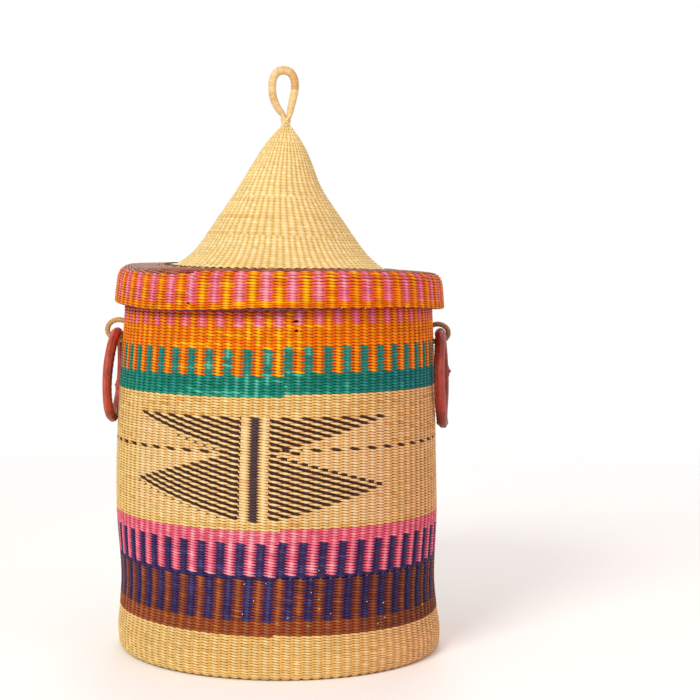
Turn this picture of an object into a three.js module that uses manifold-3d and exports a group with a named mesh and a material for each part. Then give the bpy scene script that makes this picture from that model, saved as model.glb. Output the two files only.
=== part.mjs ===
// Laundry basket twined from elephant grass: a round wall in dyed bands, a bell-shaped
// lid with a wrapped loop on top, and two leather ring handles hung from wrapped eyelets.
// Millimetres, +Z up. The origin is the centre of the base's underside and -Y is the front.

import * as THREE from "three";
import { mergeVertices } from "three/addons/utils/BufferGeometryUtils.js";
import Module from "manifold-3d";

const wasm = await Module();
wasm.setup();

// Clearances
const seatGap = 0.3; // between two pieces that touch
const handleRestGap = 0.5; // between a hanging ring and the wall it leans on

// Woven wall: thickness, and outer radii from the floor up
const wallThickness = 5.5;
const footRadius = 201.4;
const footCorner = 8; // outer radius of the bend between base and wall
const footBulgeRadius = 202.2; // halfway up the natural band at the foot
const footNeckRadius = 199.2; // at that band's top
const waistRadius = 196.5;
const bellyRadius = 200.6;
const chestRadius = 196.6;
const neckRadius = 189.2;

// Sideways wander of the hand-woven wall, along X
const footSway = 1;
const waistSway = -1.2;
const bellySway = -2.6;

// Slope of the lower bands' edges, which run down to the right
const footSlope = 0.012;
const pinkSlope = 0.006;

// Heights of the dyed bands, from the floor up
const footBandHeight = 51.4;
const brownHeight = 16.6;
const brownBlueHeight = 48;
const blueHeight = 4;
const pinkBlueHeight = 38;
const pinkHeight = 15;
const fieldHeight = 152;
const tealHeight = 23.6;
const tealOrangeHeight = 30.4;
const orangeHeight = 25;
const pinkOrangeHeight = 52.7;

// Braided rim on top of the wall, higher on the left
const rimHeight = 8.5;
const rimWidth = 8.4;
const rimInset = 0.6; // the rim's middle lies this far inside the wall's
const lidTilt = THREE.MathUtils.degToRad(1.6);

// Lid, measured from its seat on the rim
const lidThickness = 5.5;
const lidShift = 2.4; // the lid sits this far to the right
const skirtClearance = 6.9; // between the neck of the wall and the inside of the skirt
const skirtDepth = 40.9;
const skirtFlare = 3.6; // the skirt is this much wider at its lower edge
const skirtSlope = 0.0165; // the skirt is deeper on the left
const skirtEdgeHeight = 8.2;
const shoulderRadius = 12;
const lidBindingHeight = 2.2;
const lidBindingInset = 1.2;
const topRise = 2.6; // the lid's flat ring climbs this much towards the cone
const brownRingInnerRadius = 152;
const paleRowWidth = 5.5;
const blackRowWidth = 8;

// Cone of the lid: outer radii and heights over the seat, foot to apex
const coneFlareRadius = 126;
const coneFlareHeight = 9.6;
const coneKneeRadius = 105.4;
const coneKneeHeight = 27.2;
const coneLowRadius = 78.6;
const coneLowHeight = 65.2;
const coneMidRadius = 53.7;
const coneMidHeight = 102.2;
const coneHighRadius = 34.3;
const coneHighHeight = 140.2;
const coneBulbRadius = 27.3;
const coneBulbHeight = 153;
const coneCrownRadius = 19.4;
const coneCrownHeight = 164.7;
const apexRadius = 8.2;
const apexHeight = 178.5;
const coneJoinHeight = 91; // of the row that joins the cone's two parts
const coneMidLean = -3.1; // the cone bends left, then right towards the apex
const coneHighLean = -0.5;
const apexLean = 1.8;

// Loop on top of the lid
const loopCoreRadius = 2.1;
const loopWrapRadius = 4.75;
const loopLegSpacing = 4.6;
const loopWidth = 28.1; // between the strands' centre lines
const loopHeight = 54.5; // from the neck to the top of the centre line
const loopSway = -2.4;
const loopNeckHeight = 15.5; // of the crossing part below the wrapped loop
const loopTail = 14; // length of the two ends inside the cone
const neckCollarHeight = 9.6;
const neckCollarWall = 1.8;
const neckCollarFlare = 0.7; // at its lower edge

// Wrapped eyelets and leather rings, one set for each side
const eyeletCoreRadius = 2.2;
const eyeletWrapRadius = 3.25;
const leatherThickness = 1.3;
const seamGap = 0.6; // slit along the leather, where its edges are sewn
const lapThickness = 1;
const lapLength = 13;
const handleSets = {
  left: {
    side: -1,
    eyeletBelowRim: 72.3,
    eyeletHeight: 31.2,
    eyeletReach: 23.4, // how far it stands out of the wall
    ringDiameter: 119,
    tubeDiameter: 12,
    pivotOffset: 8, // from the wall to the ring's centre line at its top
    bow: 3.2, // the sides of the ring stand out this much from its plane
    turn: -1.2, // the back of the ring is nearer the wall than the front
    seamAngle: 0,
    lapAngle: 109,
  },
  right: {
    side: 1,
    eyeletBelowRim: 76.6,
    eyeletHeight: 28.6,
    eyeletReach: 22.3,
    ringDiameter: 125,
    tubeDiameter: 13,
    pivotOffset: 9,
    bow: 1.4,
    turn: 9,
    seamAngle: 180,
    lapAngle: 92,
  },
};

// Fineness of the curved surfaces
const ringSegments = 52;
const wallStep = 40; // most height between two rings of points
const tubeSides = 7;

// Dyes and materials
const grass = { color: 0xdcae6c, roughness: 0.75 };
const paleGrass = { color: 0xe8c486, roughness: 0.7 };
const brownDye = { color: 0x7e3c22, roughness: 0.75 };
const brownBlueDye = { color: 0x5a3a48, roughness: 0.75 };
const blueDye = { color: 0x3b3560, roughness: 0.75 };
const pinkBlueDye = { color: 0x9c4f7c, roughness: 0.75 };
const pinkDye = { color: 0xe0637f, roughness: 0.75 };
const tealDye = { color: 0x1c8272, roughness: 0.75 };
const tealOrangeDye = { color: 0x8f8238, roughness: 0.75 };
const orangeDye = { color: 0xf08a18, roughness: 0.75 };
const pinkOrangeDye = { color: 0xea7a4c, roughness: 0.75 };
const darkBrownDye = { color: 0x5e3a34, roughness: 0.75 };
const blackDye = { color: 0x352c30, roughness: 0.75 };
const leather = { color: 0x98352c, roughness: 0.5 };

const bands = [
  ["wall_foot_natural", footBandHeight, grass],
  ["wall_brown", brownHeight, brownDye],
  ["wall_brown_blue_columns", brownBlueHeight, brownBlueDye],
  ["wall_blue_line", blueHeight, blueDye],
  ["wall_pink_blue_columns", pinkBlueHeight, pinkBlueDye],
  ["wall_pink", pinkHeight, pinkDye],
  ["wall_natural_field", fieldHeight, grass],
  ["wall_teal", tealHeight, tealDye],
  ["wall_teal_orange_columns", tealOrangeHeight, tealOrangeDye],
  ["wall_orange", orangeHeight, orangeDye],
  ["wall_pink_orange_columns", pinkOrangeHeight, pinkOrangeDye],
];

// Heights that follow from the bands
const beltHeight = footBandHeight + brownHeight + brownBlueHeight;
const fieldBottom = beltHeight + blueHeight + pinkBlueHeight + pinkHeight;
const fieldTop = fieldBottom + fieldHeight;
const wallTop = bands.reduce((sum, band) => sum + band[1], 0);
const shearBottom = wallTop - pinkOrangeHeight;
const rimTop = wallTop + seatGap + rimHeight;
const lidSeat = rimTop + seatGap;

// A smooth curve through [height, value] pairs
function smoothThrough(keys) {
  const slope = (i) => {
    const a = keys[Math.max(i - 1, 0)];
    const b = keys[Math.min(i + 1, keys.length - 1)];
    return (b[1] - a[1]) / (b[0] - a[0]);
  };
  return (z) => {
    let i = 0;
    while (i < keys.length - 2 && z > keys[i + 1][0]) i += 1;
    const [z0, v0] = keys[i];
    const [z1, v1] = keys[i + 1];
    const h = z1 - z0;
    const t = THREE.MathUtils.clamp((z - z0) / h, 0, 1);
    const u = 1 - t;
    return u * u * (1 + 2 * t) * v0 + t * t * (3 - 2 * t) * v1
      + h * t * u * (u * slope(i) - t * slope(i + 1));
  };
}

const wallRadius = smoothThrough([
  [footCorner, footRadius],
  [footBandHeight / 2, footBulgeRadius],
  [footBandHeight, footNeckRadius],
  [beltHeight - brownBlueHeight / 2, waistRadius],
  [fieldBottom + wallThickness, bellyRadius],
  [fieldTop, chestRadius],
  [wallTop, neckRadius],
]);
const wallSway = smoothThrough([
  [footCorner, footSway],
  [beltHeight, waistSway],
  [(fieldBottom + fieldTop) / 2, bellySway],
  [shearBottom, 0],
  [wallTop, 0],
]);

const bandSlope = smoothThrough([
  [0, 0],
  [footBandHeight, footSlope],
  [fieldBottom, pinkSlope],
  [fieldTop, 0],
  [shearBottom, 0],
]);

// Turns faces outward and drops what the solids don't need
function finish(geometry) {
  geometry.deleteAttribute("normal");
  geometry.deleteAttribute("uv");
  const merged = mergeVertices(geometry, 1e-4);
  const p = merged.attributes.position;
  const index = merged.index.array;
  const a = new THREE.Vector3();
  const b = new THREE.Vector3();
  const c = new THREE.Vector3();
  let volume = 0;
  const kept = [];
  for (let i = 0; i < index.length; i += 3) {
    const [i0, i1, i2] = [index[i], index[i + 1], index[i + 2]];
    if (i0 === i1 || i1 === i2 || i2 === i0) continue;
    a.fromBufferAttribute(p, i0);
    b.fromBufferAttribute(p, i1);
    c.fromBufferAttribute(p, i2);
    volume += a.dot(b.cross(c));
    kept.push(i0, i1, i2);
  }
  if (volume < 0) kept.reverse();
  merged.setIndex(kept);
  merged.computeVertexNormals();
  return merged;
}

function mesh(name, geometry, look) {
  const piece = new THREE.Mesh(geometry, new THREE.MeshStandardMaterial({ metalness: 0, ...look }));
  piece.name = name;
  return piece;
}

// Revolves a closed outline of [radius, height] points about Z
function revolve(outline, segments = ringSegments) {
  const closed = [...outline, outline[0]].map(([r, z]) => new THREE.Vector2(r, z));
  return new THREE.LatheGeometry(closed, segments).rotateX(Math.PI / 2);
}

// Moves each point by an offset that depends on where it lies
function bend(geometry, offset) {
  const p = geometry.attributes.position;
  for (let i = 0; i < p.count; i += 1) {
    const [dx, dz] = offset(p.getX(i), p.getZ(i));
    p.setX(i, p.getX(i) + dx);
    p.setZ(i, p.getZ(i) + dz);
  }
  return geometry;
}

// The lower bands run down to the right, and the upper band grows taller to the left,
// to carry the tilted rim
function wallBend(x, z) {
  const share = THREE.MathUtils.smoothstep(z, shearBottom, wallTop);
  return [wallSway(z), -x * (bandSlope(z) + Math.tan(lidTilt) * share)];
}

function levels(bottom, top) {
  const count = Math.max(1, Math.ceil((top - bottom) / wallStep));
  return Array.from({ length: count + 1 }, (_, i) => bottom + ((top - bottom) * i) / count);
}

function arc(radius, height, size, from, to, steps) {
  return Array.from({ length: steps + 1 }, (_, i) => {
    const angle = THREE.MathUtils.degToRad(from + ((to - from) * i) / steps);
    return [radius + size * Math.cos(angle), height + size * Math.sin(angle)];
  });
}

function baseMat() {
  const radius = footRadius - footCorner - seatGap;
  const disc = new THREE.CylinderGeometry(radius, radius, wallThickness, ringSegments);
  disc.rotateX(Math.PI / 2).translate(0, 0, wallThickness / 2);
  return bend(disc, wallBend);
}

function wallBand(bottom, top) {
  const heights = levels(bottom, top);
  const outside = heights.map((z) => [wallRadius(z), z]);
  const inside = heights.map((z) => [wallRadius(z) - wallThickness, z]).reverse();
  return bend(revolve([...outside, ...inside]), wallBend);
}

function footBand(top) {
  const heights = levels(footCorner, top).slice(1);
  const centre = footRadius - footCorner;
  const corner = arc(centre, footCorner, footCorner, -90, 0, 4);
  const innerCorner = arc(centre, footCorner, footCorner - wallThickness, 0, -90, 3);
  const outside = heights.map((z) => [wallRadius(z), z]);
  const inside = heights.map((z) => [wallRadius(z) - wallThickness, z]).reverse();
  return bend(revolve([...corner, ...outside, ...inside, ...innerCorner]), wallBend);
}

function rimBinding() {
  const width = rimWidth / 2;
  const middle = neckRadius - wallThickness / 2 - rimInset;
  const section = Array.from({ length: 8 }, (_, i) => {
    const angle = ((i + 0.5) * Math.PI) / 4;
    const flat = Math.cos(Math.PI / 8);
    return [middle + (width * Math.cos(angle)) / flat, (rimHeight / 2) * (Math.sin(angle) / flat - 1)];
  });
  return revolve(section);
}

function solid(geometry) {
  const clean = geometry.index && !geometry.attributes.uv ? geometry : finish(geometry);
  const wasmMesh = new wasm.Mesh({
    numProp: 3,
    vertProperties: new Float32Array(clean.attributes.position.array),
    triVerts: new Uint32Array(clean.index.array),
  });
  return new wasm.Manifold(wasmMesh);
}

function fromSolid(body) {
  const result = body.getMesh();
  const geometry = new THREE.BufferGeometry();
  geometry.setAttribute("position", new THREE.BufferAttribute(result.vertProperties, 3));
  geometry.setIndex(new THREE.BufferAttribute(result.triVerts, 1));
  geometry.computeVertexNormals();
  return geometry;
}

// Sweeps a closed section round a closed path that lies near a plane
function sweepRing(point, section, steps, planeNormal) {
  const positions = [];
  const index = [];
  const across = new THREE.Vector3();
  const tangent = new THREE.Vector3();
  for (let i = 0; i < steps; i += 1) {
    const here = point(i / steps);
    tangent.subVectors(point((i + 0.5) / steps), point((i - 0.5) / steps)).normalize();
    across.crossVectors(tangent, planeNormal).normalize();
    const up = new THREE.Vector3().crossVectors(across, tangent);
    for (const [u, v] of section) {
      const corner = here.clone().addScaledVector(across, u).addScaledVector(up, v);
      positions.push(corner.x, corner.y, corner.z);
    }
  }
  const n = section.length;
  for (let i = 0; i < steps; i += 1) {
    for (let j = 0; j < n; j += 1) {
      const a = i * n + j;
      const b = i * n + ((j + 1) % n);
      const c = ((i + 1) % steps) * n + j;
      const d = ((i + 1) % steps) * n + ((j + 1) % n);
      index.push(a, c, b, b, c, d);
    }
  }
  const geometry = new THREE.BufferGeometry();
  geometry.setAttribute("position", new THREE.Float32BufferAttribute(positions, 3));
  geometry.setAttribute("normal", new THREE.Float32BufferAttribute(positions, 3));
  geometry.setAttribute("uv", new THREE.Float32BufferAttribute(positions, 3));
  geometry.setIndex(index);
  return geometry;
}

function roundSection(radius, sides = tubeSides) {
  return Array.from({ length: sides }, (_, i) => {
    const angle = ((i + 0.5) * 2 * Math.PI) / sides;
    return [radius * Math.cos(angle), radius * Math.sin(angle)];
  });
}

// A curve given by a function of 0 to 1
class Route extends THREE.Curve {
  constructor(at) {
    super();
    this.at = at;
  }

  getPoint(t) {
    return this.at(t);
  }
}

// A straight-ended tube along a route, solid or hollow
function tubeAlong(route, radius, innerRadius, steps, sides = tubeSides) {
  const outline = (r) => roundSection(r, sides).map(([u, v]) => new THREE.Vector2(u, v));
  const shape = new THREE.Shape(outline(radius));
  if (innerRadius > 0) shape.holes.push(new THREE.Path(outline(innerRadius)));
  return new THREE.ExtrudeGeometry(shape, { extrudePath: route, steps });
}

// Everything about one side's eyelet and ring, worked out from the wall it hangs on
function handleLayout(set) {
  const eyeletZ = rimTop - set.eyeletBelowRim;
  const wallX = wallRadius(eyeletZ) + set.side * wallSway(eyeletZ);
  const outerX = wallX + set.eyeletReach - eyeletWrapRadius;
  const innerX = wallX - wallThickness - seatGap - eyeletCoreRadius;
  const eyelet = {
    x: (outerX + innerX) / 2,
    z: eyeletZ,
    halfWidth: (outerX - innerX) / 2,
    halfHeight: set.eyeletHeight / 2 - eyeletWrapRadius,
  };
  const tube = set.tubeDiameter / 2;
  const pivotX = wallX + set.pivotOffset;
  const apart = eyeletWrapRadius + seatGap + tube;
  let pivotZ = eyelet.z - eyelet.halfHeight;
  while (eyeletDistance(eyelet, pivotX, pivotZ) < apart && pivotZ < eyelet.z) pivotZ += 0.05;
  const radius = set.ringDiameter / 2 - tube;
  const layout = { eyelet, tube, pivotX, pivotZ, radius, bottomX: pivotX, wallX };
  while (wallClearance(set, layout) < handleRestGap) layout.bottomX += 0.1;
  return layout;
}

// Least distance from a point beside the wall to the eyelet's centre line
function eyeletDistance(eyelet, x, z) {
  let least = Infinity;
  for (let angle = -Math.PI; angle < Math.PI; angle += 0.02) {
    const dx = eyelet.x + eyelet.halfWidth * Math.cos(angle) - x;
    const dz = eyelet.z + eyelet.halfHeight * Math.sin(angle) - z;
    least = Math.min(least, Math.hypot(dx, dz));
  }
  return least;
}

// Least distance between the lower half of a hanging ring and the wall it leans on
function wallClearance(set, layout) {
  let least = Infinity;
  for (let t = 0.15; t <= 0.85; t += 0.01) {
    const { x, y, z } = ringPoint(set, layout, t);
    const reach = Math.hypot(x - wallSway(z), y) - wallRadius(z) - layout.tube;
    least = Math.min(least, reach);
  }
  return least;
}

function eyeletPoint(set, layout, angle) {
  const { x, z, halfWidth, halfHeight } = layout.eyelet;
  return new THREE.Vector3(
    set.side * (x + halfWidth * Math.cos(angle)),
    0,
    z + halfHeight * Math.sin(angle),
  );
}

function eyeletRing(set, layout, radius) {
  const at = (t) => eyeletPoint(set, layout, t * 2 * Math.PI);
  return sweepRing(at, roundSection(radius, 6), 20, new THREE.Vector3(0, 1, 0));
}

// The wrapping covers the eyelet outside the wall only
function eyeletWrap(set, layout) {
  const { x, halfWidth } = layout.eyelet;
  const wallEnd = layout.wallX + seatGap + eyeletWrapRadius / 2;
  const end = Math.acos((wallEnd - x) / halfWidth);
  const route = new Route((t) => eyeletPoint(set, layout, end * (2 * t - 1)));
  return tubeAlong(route, eyeletWrapRadius, eyeletCoreRadius + seatGap, 12);
}

// Centre line of a hanging ring, from its top down the front (-Y) and up the back
function ringPoint(set, layout, t) {
  const angle = t * 2 * Math.PI;
  const fall = (1 - Math.cos(angle)) / 2;
  const outward = layout.pivotX + (layout.bottomX - layout.pivotX) * fall
    + set.bow * Math.sin(angle) ** 2 - set.turn * Math.sin(angle);
  return new THREE.Vector3(
    set.side * outward,
    -layout.radius * Math.sin(angle),
    layout.pivotZ - 2 * layout.radius * fall,
  );
}

function leatherSection(tube, seamAngle) {
  const slit = seamGap / 2 / tube;
  const seam = THREE.MathUtils.degToRad(seamAngle);
  const points = (radius, count, open) => Array.from({ length: count }, (_, i) => {
    const angle = seam + open + ((2 * Math.PI - 2 * open) * i) / (count - 1);
    return [radius * Math.cos(angle), radius * Math.sin(angle)];
  });
  return [...points(tube, 9, slit), ...points(tube - leatherThickness, 7, slit).reverse()];
}

function handleLeather(set, layout) {
  const section = leatherSection(layout.tube, set.seamAngle);
  return sweepRing((t) => ringPoint(set, layout, t), section, 28, new THREE.Vector3(1, 0, 0));
}

function handleCore(set, layout) {
  const sides = 6;
  const flatInside = (layout.tube - leatherThickness) * Math.cos(Math.PI / sides);
  const section = roundSection(flatInside - seatGap, sides);
  return sweepRing((t) => ringPoint(set, layout, t), section, 28, new THREE.Vector3(1, 0, 0));
}

function handleLap(set, layout) {
  const middle = 1 - set.lapAngle / 360;
  const half = lapLength / 2 / (2 * Math.PI * layout.radius);
  const route = new Route((t) => ringPoint(set, layout, middle + (2 * t - 1) * half));
  const inner = (layout.tube + seatGap) / Math.cos(Math.PI / tubeSides);
  return tubeAlong(route, inner + lapThickness, inner, 3);
}

function handlePieces(name, set) {
  const layout = handleLayout(set);
  return {
    cutter: () => solid(eyeletRing(set, layout, eyeletCoreRadius + seatGap)),
    pieces: [
      mesh(`eyelet_${name}_core`, finish(eyeletRing(set, layout, eyeletCoreRadius)), grass),
      mesh(`eyelet_${name}_wrap`, finish(eyeletWrap(set, layout)), paleGrass),
      mesh(`handle_${name}_core`, finish(handleCore(set, layout)), grass),
      mesh(`handle_${name}_leather`, finish(handleLeather(set, layout)), leather),
      mesh(`handle_${name}_lap`, finish(handleLap(set, layout)), leather),
    ],
  };
}

// Lid, in its own frame: its seat is at height 0, over the middle of the rim
const skirtTopRadius = neckRadius + skirtClearance + lidThickness;
const skirtBottomRadius = skirtTopRadius + skirtFlare;
const shoulderCentre = skirtTopRadius - shoulderRadius;
const blackRowRadius = brownRingInnerRadius - paleRowWidth;
const coneFootRadius = blackRowRadius - blackRowWidth;

function skirtRadius(z) {
  const share = (lidThickness - shoulderRadius - z) / (skirtDepth + lidThickness - shoulderRadius);
  return skirtTopRadius + skirtFlare * share;
}

// The lower part of the skirt hangs deeper on the left
function skirtBend(x, z) {
  const share = THREE.MathUtils.clamp((lidThickness - shoulderRadius - z) / skirtDepth, 0, 1);
  return [0, x * skirtSlope * share];
}

// Height of the flat ring's outer face at a radius
function lidTopHeight(radius) {
  const span = shoulderCentre - coneFlareRadius;
  return lidThickness + (topRise * (shoulderCentre - radius)) / span;
}

function lidSkirtEdge() {
  const bottom = -skirtDepth;
  const top = bottom + skirtEdgeHeight;
  return bend(revolve([
    [skirtRadius(bottom), bottom],
    [skirtRadius(top), top],
    [skirtRadius(top) - lidThickness, top],
    [skirtRadius(bottom) - lidThickness, bottom],
  ]), skirtBend);
}

function lidBinding() {
  const top = -skirtDepth - seatGap;
  const outer = skirtBottomRadius - lidBindingInset;
  const inner = skirtBottomRadius - lidThickness;
  const bevel = lidBindingHeight / 3;
  return bend(revolve([
    [outer, top],
    [inner, top],
    [inner, top - lidBindingHeight + bevel],
    [inner + bevel, top - lidBindingHeight],
    [outer - bevel, top - lidBindingHeight],
    [outer, top - lidBindingHeight + bevel],
  ]), skirtBend);
}

function lidSkirtColumns() {
  const bottom = -skirtDepth + skirtEdgeHeight + seatGap;
  const turn = lidThickness - shoulderRadius;
  const shoulder = arc(shoulderCentre, turn, shoulderRadius, 0, 90, 4);
  const inner = arc(shoulderCentre, turn, shoulderRadius - lidThickness, 90, 0, 3);
  return bend(revolve([
    [skirtRadius(bottom), bottom],
    ...shoulder,
    ...inner,
    [skirtRadius(bottom) - lidThickness, bottom],
  ]), skirtBend);
}

// A flat ring of the lid's top, between two radii
function lidRing(outer, inner) {
  return revolve([
    [outer, lidTopHeight(outer)],
    [inner, lidTopHeight(inner)],
    [inner, lidTopHeight(inner) - lidThickness],
    [outer, lidTopHeight(outer) - lidThickness],
  ]);
}

function coneLean(z) {
  return smoothThrough([
    [-skirtDepth, 0],
    [coneKneeHeight / 2, 0],
    [coneMidHeight, coneMidLean],
    [coneHighHeight, coneHighLean],
    [apexHeight, apexLean],
  ])(Math.max(z, coneKneeHeight / 2));
}

const coneCurve = new THREE.SplineCurve([
  [coneFootRadius, lidTopHeight(coneFootRadius)],
  [coneFlareRadius, coneFlareHeight],
  [coneKneeRadius, coneKneeHeight],
  [coneLowRadius, coneLowHeight],
  [coneMidRadius, coneMidHeight],
  [coneHighRadius, coneHighHeight],
  [coneBulbRadius, coneBulbHeight],
  [coneCrownRadius, coneCrownHeight],
  [apexRadius, apexHeight],
].map(([r, z]) => new THREE.Vector2(r, z)));

// Share of the cone's outline at which it reaches a height
function coneShare(height) {
  let share = 0;
  while (coneCurve.getPoint(share).y < height) share += 0.001;
  return share;
}

// Outer and inner faces of a stretch of the cone, from its lower end up
function coneFaces(from, to, steps) {
  const outside = [];
  const inside = [];
  for (let i = 0; i <= steps; i += 1) {
    const share = from + ((to - from) * i) / steps;
    const point = coneCurve.getPoint(share);
    const way = coneCurve.getTangent(share);
    outside.push([point.x, point.y]);
    inside.push([point.x - way.y * lidThickness, point.y + way.x * lidThickness]);
  }
  return { outside, inside };
}

// Where stakes were added the cone has a darker row, and its two parts meet
function lidConeLower() {
  const { outside, inside } = coneFaces(0, coneShare(coneJoinHeight), 6);
  inside[0][0] = coneFootRadius;
  return bend(revolve([...outside, ...inside.reverse()]), (x, z) => [coneLean(z), 0]);
}

function lidConeUpper() {
  const { outside, inside } = coneFaces(coneShare(coneJoinHeight + seatGap), 1, 8);
  const boreRadius = loopLegSpacing / 2 + loopCoreRadius + seatGap;
  const throat = inside.filter(([r]) => r > boreRadius + 1);
  const bore = [[boreRadius, apexHeight], [boreRadius, throat.at(-1)[1]]];
  const outline = [...outside, ...bore, ...throat.reverse()];
  return bend(revolve(outline), (x, z) => [coneLean(z), 0]);
}

// Centre line of the loop's grass bundle: up from the cone, round the teardrop and back
function loopRoute() {
  const neck = apexHeight + loopNeckHeight;
  const top = neck + loopHeight;
  const half = loopWidth / 2;
  const leg = loopLegSpacing / 2;
  const tail = apexHeight - loopTail;
  const points = [
    [coneLean(tail) - leg, tail],
    [coneLean(apexHeight - loopTail / 2) - leg, apexHeight - loopTail / 2],
    [apexLean - leg, apexHeight],
    [apexLean - leg, neck - 6],
    [apexLean - leg - 2, neck],
    [loopSway - half * 0.42, neck + loopHeight * 0.13],
    [loopSway - half * 0.86, neck + loopHeight * 0.355],
    [loopSway - half, neck + loopHeight * 0.6],
    [loopSway - half * 0.93, neck + loopHeight * 0.81],
    [loopSway - half * 0.56, top - 2],
    [loopSway, top],
    [loopSway + half * 0.5, top - 2],
    [loopSway + half * 0.88, neck + loopHeight * 0.83],
    [loopSway + half, neck + loopHeight * 0.62],
    [loopSway + half * 0.86, neck + loopHeight * 0.36],
    [loopSway + half * 0.68, neck + loopHeight * 0.14],
    [apexLean + leg + 1.8, neck],
    [apexLean + leg, neck - 6],
    [apexLean + leg, apexHeight],
    [coneLean(apexHeight - loopTail / 2) + leg, apexHeight - loopTail / 2],
    [coneLean(tail) + leg, tail],
  ];
  return new THREE.CatmullRomCurve3(points.map(([x, z]) => new THREE.Vector3(x, 0, z)), false, "centripetal");
}

// The stretch of a route between two shares of its length
function stretch(route, from, to) {
  return new Route((t) => route.getPointAt(from + (to - from) * t));
}

function loopWrap() {
  const route = loopRoute();
  const clear = loopWrapRadius + seatGap / 2;
  const apart = (s) => {
    const here = route.getPointAt(s);
    const there = route.getPointAt(1 - s);
    return here.z > apexHeight + loopNeckHeight && Math.abs(here.x - there.x) > 2 * clear + 0.6;
  };
  let start = 0;
  while (!apart(start)) start += 0.0025;
  return tubeAlong(stretch(route, start, 1 - start), loopWrapRadius, loopCoreRadius + seatGap, 28);
}

function neckCollar() {
  const inner = loopLegSpacing / 2 + loopCoreRadius + 2 * seatGap;
  const outer = inner + neckCollarWall;
  const bottom = apexHeight + seatGap;
  const collar = revolve([
    [inner, bottom],
    [outer + neckCollarFlare, bottom],
    [outer, bottom + neckCollarHeight / 4],
    [outer, bottom + neckCollarHeight],
    [inner, bottom + neckCollarHeight],
  ], 20);
  return collar.translate(apexLean, 0, 0);
}

function lidPieces() {
  const lid = new THREE.Group();
  lid.position.set(lidShift, 0, lidSeat);
  lid.rotation.y = lidTilt;
  const brownOuter = shoulderCentre - seatGap;
  const paleOuter = brownRingInnerRadius - seatGap;
  const blackOuter = blackRowRadius - seatGap;
  lid.add(
    mesh("lid_skirt_edge", finish(lidSkirtEdge()), orangeDye),
    mesh("lid_rim_binding", finish(lidBinding()), darkBrownDye),
    mesh("lid_skirt_columns", finish(lidSkirtColumns()), pinkOrangeDye),
    mesh("lid_brown_ring", finish(lidRing(brownOuter, brownRingInnerRadius)), darkBrownDye),
    mesh("lid_pale_row", finish(lidRing(paleOuter, blackRowRadius)), grass),
    mesh("lid_black_row", finish(lidRing(blackOuter, coneFootRadius + seatGap)), blackDye),
    mesh("lid_cone_lower", finish(lidConeLower()), grass),
    mesh("lid_cone_upper", finish(lidConeUpper()), grass),
    mesh("finial_loop_core", finish(tubeAlong(loopRoute(), loopCoreRadius, 0, 40, 6)), grass),
    mesh("finial_loop_wrap", finish(loopWrap()), paleGrass),
    mesh("finial_neck_collar", finish(neckCollar()), paleGrass),
  );
  return lid;
}

const basket = new THREE.Group();
basket.add(mesh("base_mat", finish(baseMat()), grass));

const handles = Object.entries(handleSets).map(([name, set]) => handlePieces(name, set));
const cutters = handles.map((handle) => handle.cutter());
let bandBottom = 0;
for (const [name, height, look] of bands) {
  const top = bandBottom + height - seatGap;
  const plain = finish(bandBottom === 0 ? footBand(top) : wallBand(bandBottom, top));
  const cut = cutters.reduce((body, cutter) => body.subtract(cutter), solid(plain));
  basket.add(mesh(name, fromSolid(cut), look));
  bandBottom += height;
}

const rim = new THREE.Group();
rim.position.z = rimTop;
rim.rotation.y = lidTilt;
rim.add(mesh("rim_binding", finish(rimBinding()), grass));
basket.add(rim, lidPieces(), ...handles.flatMap((handle) => handle.pieces));

export default basket;
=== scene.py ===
# Looks of the twined grass laundry basket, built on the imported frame.
# Lengths are millimetres in the mesh code and become metres in add_mesh.

import math
from functools import partial

import bpy
import numpy as np
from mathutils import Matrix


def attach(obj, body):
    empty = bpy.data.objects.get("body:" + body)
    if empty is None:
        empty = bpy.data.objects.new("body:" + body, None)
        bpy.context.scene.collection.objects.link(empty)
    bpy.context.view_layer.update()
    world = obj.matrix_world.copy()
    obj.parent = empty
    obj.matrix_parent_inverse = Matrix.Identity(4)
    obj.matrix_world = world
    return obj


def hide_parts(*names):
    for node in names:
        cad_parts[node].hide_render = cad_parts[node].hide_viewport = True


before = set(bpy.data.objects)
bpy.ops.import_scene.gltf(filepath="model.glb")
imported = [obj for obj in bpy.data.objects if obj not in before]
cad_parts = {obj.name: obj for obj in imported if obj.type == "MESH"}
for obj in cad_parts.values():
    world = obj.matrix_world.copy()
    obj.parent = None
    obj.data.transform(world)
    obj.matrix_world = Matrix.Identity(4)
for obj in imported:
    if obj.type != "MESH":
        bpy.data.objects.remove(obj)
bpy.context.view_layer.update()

MM = 0.001
TAU = 2 * math.pi

# Small tools


def linear(hex_colour):
    """An sRGB hex colour as linear RGB."""
    value = hex_colour.lstrip("#")
    parts = [int(value[i:i + 2], 16) / 255 for i in (0, 2, 4)]
    return np.array([c / 12.92 if c <= 0.04045 else ((c + 0.055) / 1.055) ** 2.4 for c in parts])


def smooth_through(keys):
    """A smooth curve through [place, value] pairs, as in the model's own outline."""
    x = np.array([k[0] for k in keys], float)
    y = np.array([k[1] for k in keys], float)
    before = np.maximum(np.arange(len(x)) - 1, 0)
    after = np.minimum(np.arange(len(x)) + 1, len(x) - 1)
    slope = (y[after] - y[before]) / (x[after] - x[before])

    def value(at):
        at = np.asarray(at, float)
        i = np.clip(np.searchsorted(x, at, side="right") - 1, 0, len(x) - 2)
        h = x[i + 1] - x[i]
        t = np.clip((at - x[i]) / h, 0, 1)
        u = 1 - t
        return (u * u * (1 + 2 * t) * y[i] + t * t * (3 - 2 * t) * y[i + 1]
                + h * t * u * (u * slope[i] - t * slope[i + 1]))

    return value


def smoothstep(at, low, high):
    t = np.clip((at - low) / (high - low), 0, 1)
    return t * t * (3 - 2 * t)


def stack(*parts):
    """Arrays side by side in a new last axis, such as x, y and z."""
    return np.stack(parts, axis=-1)


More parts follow.
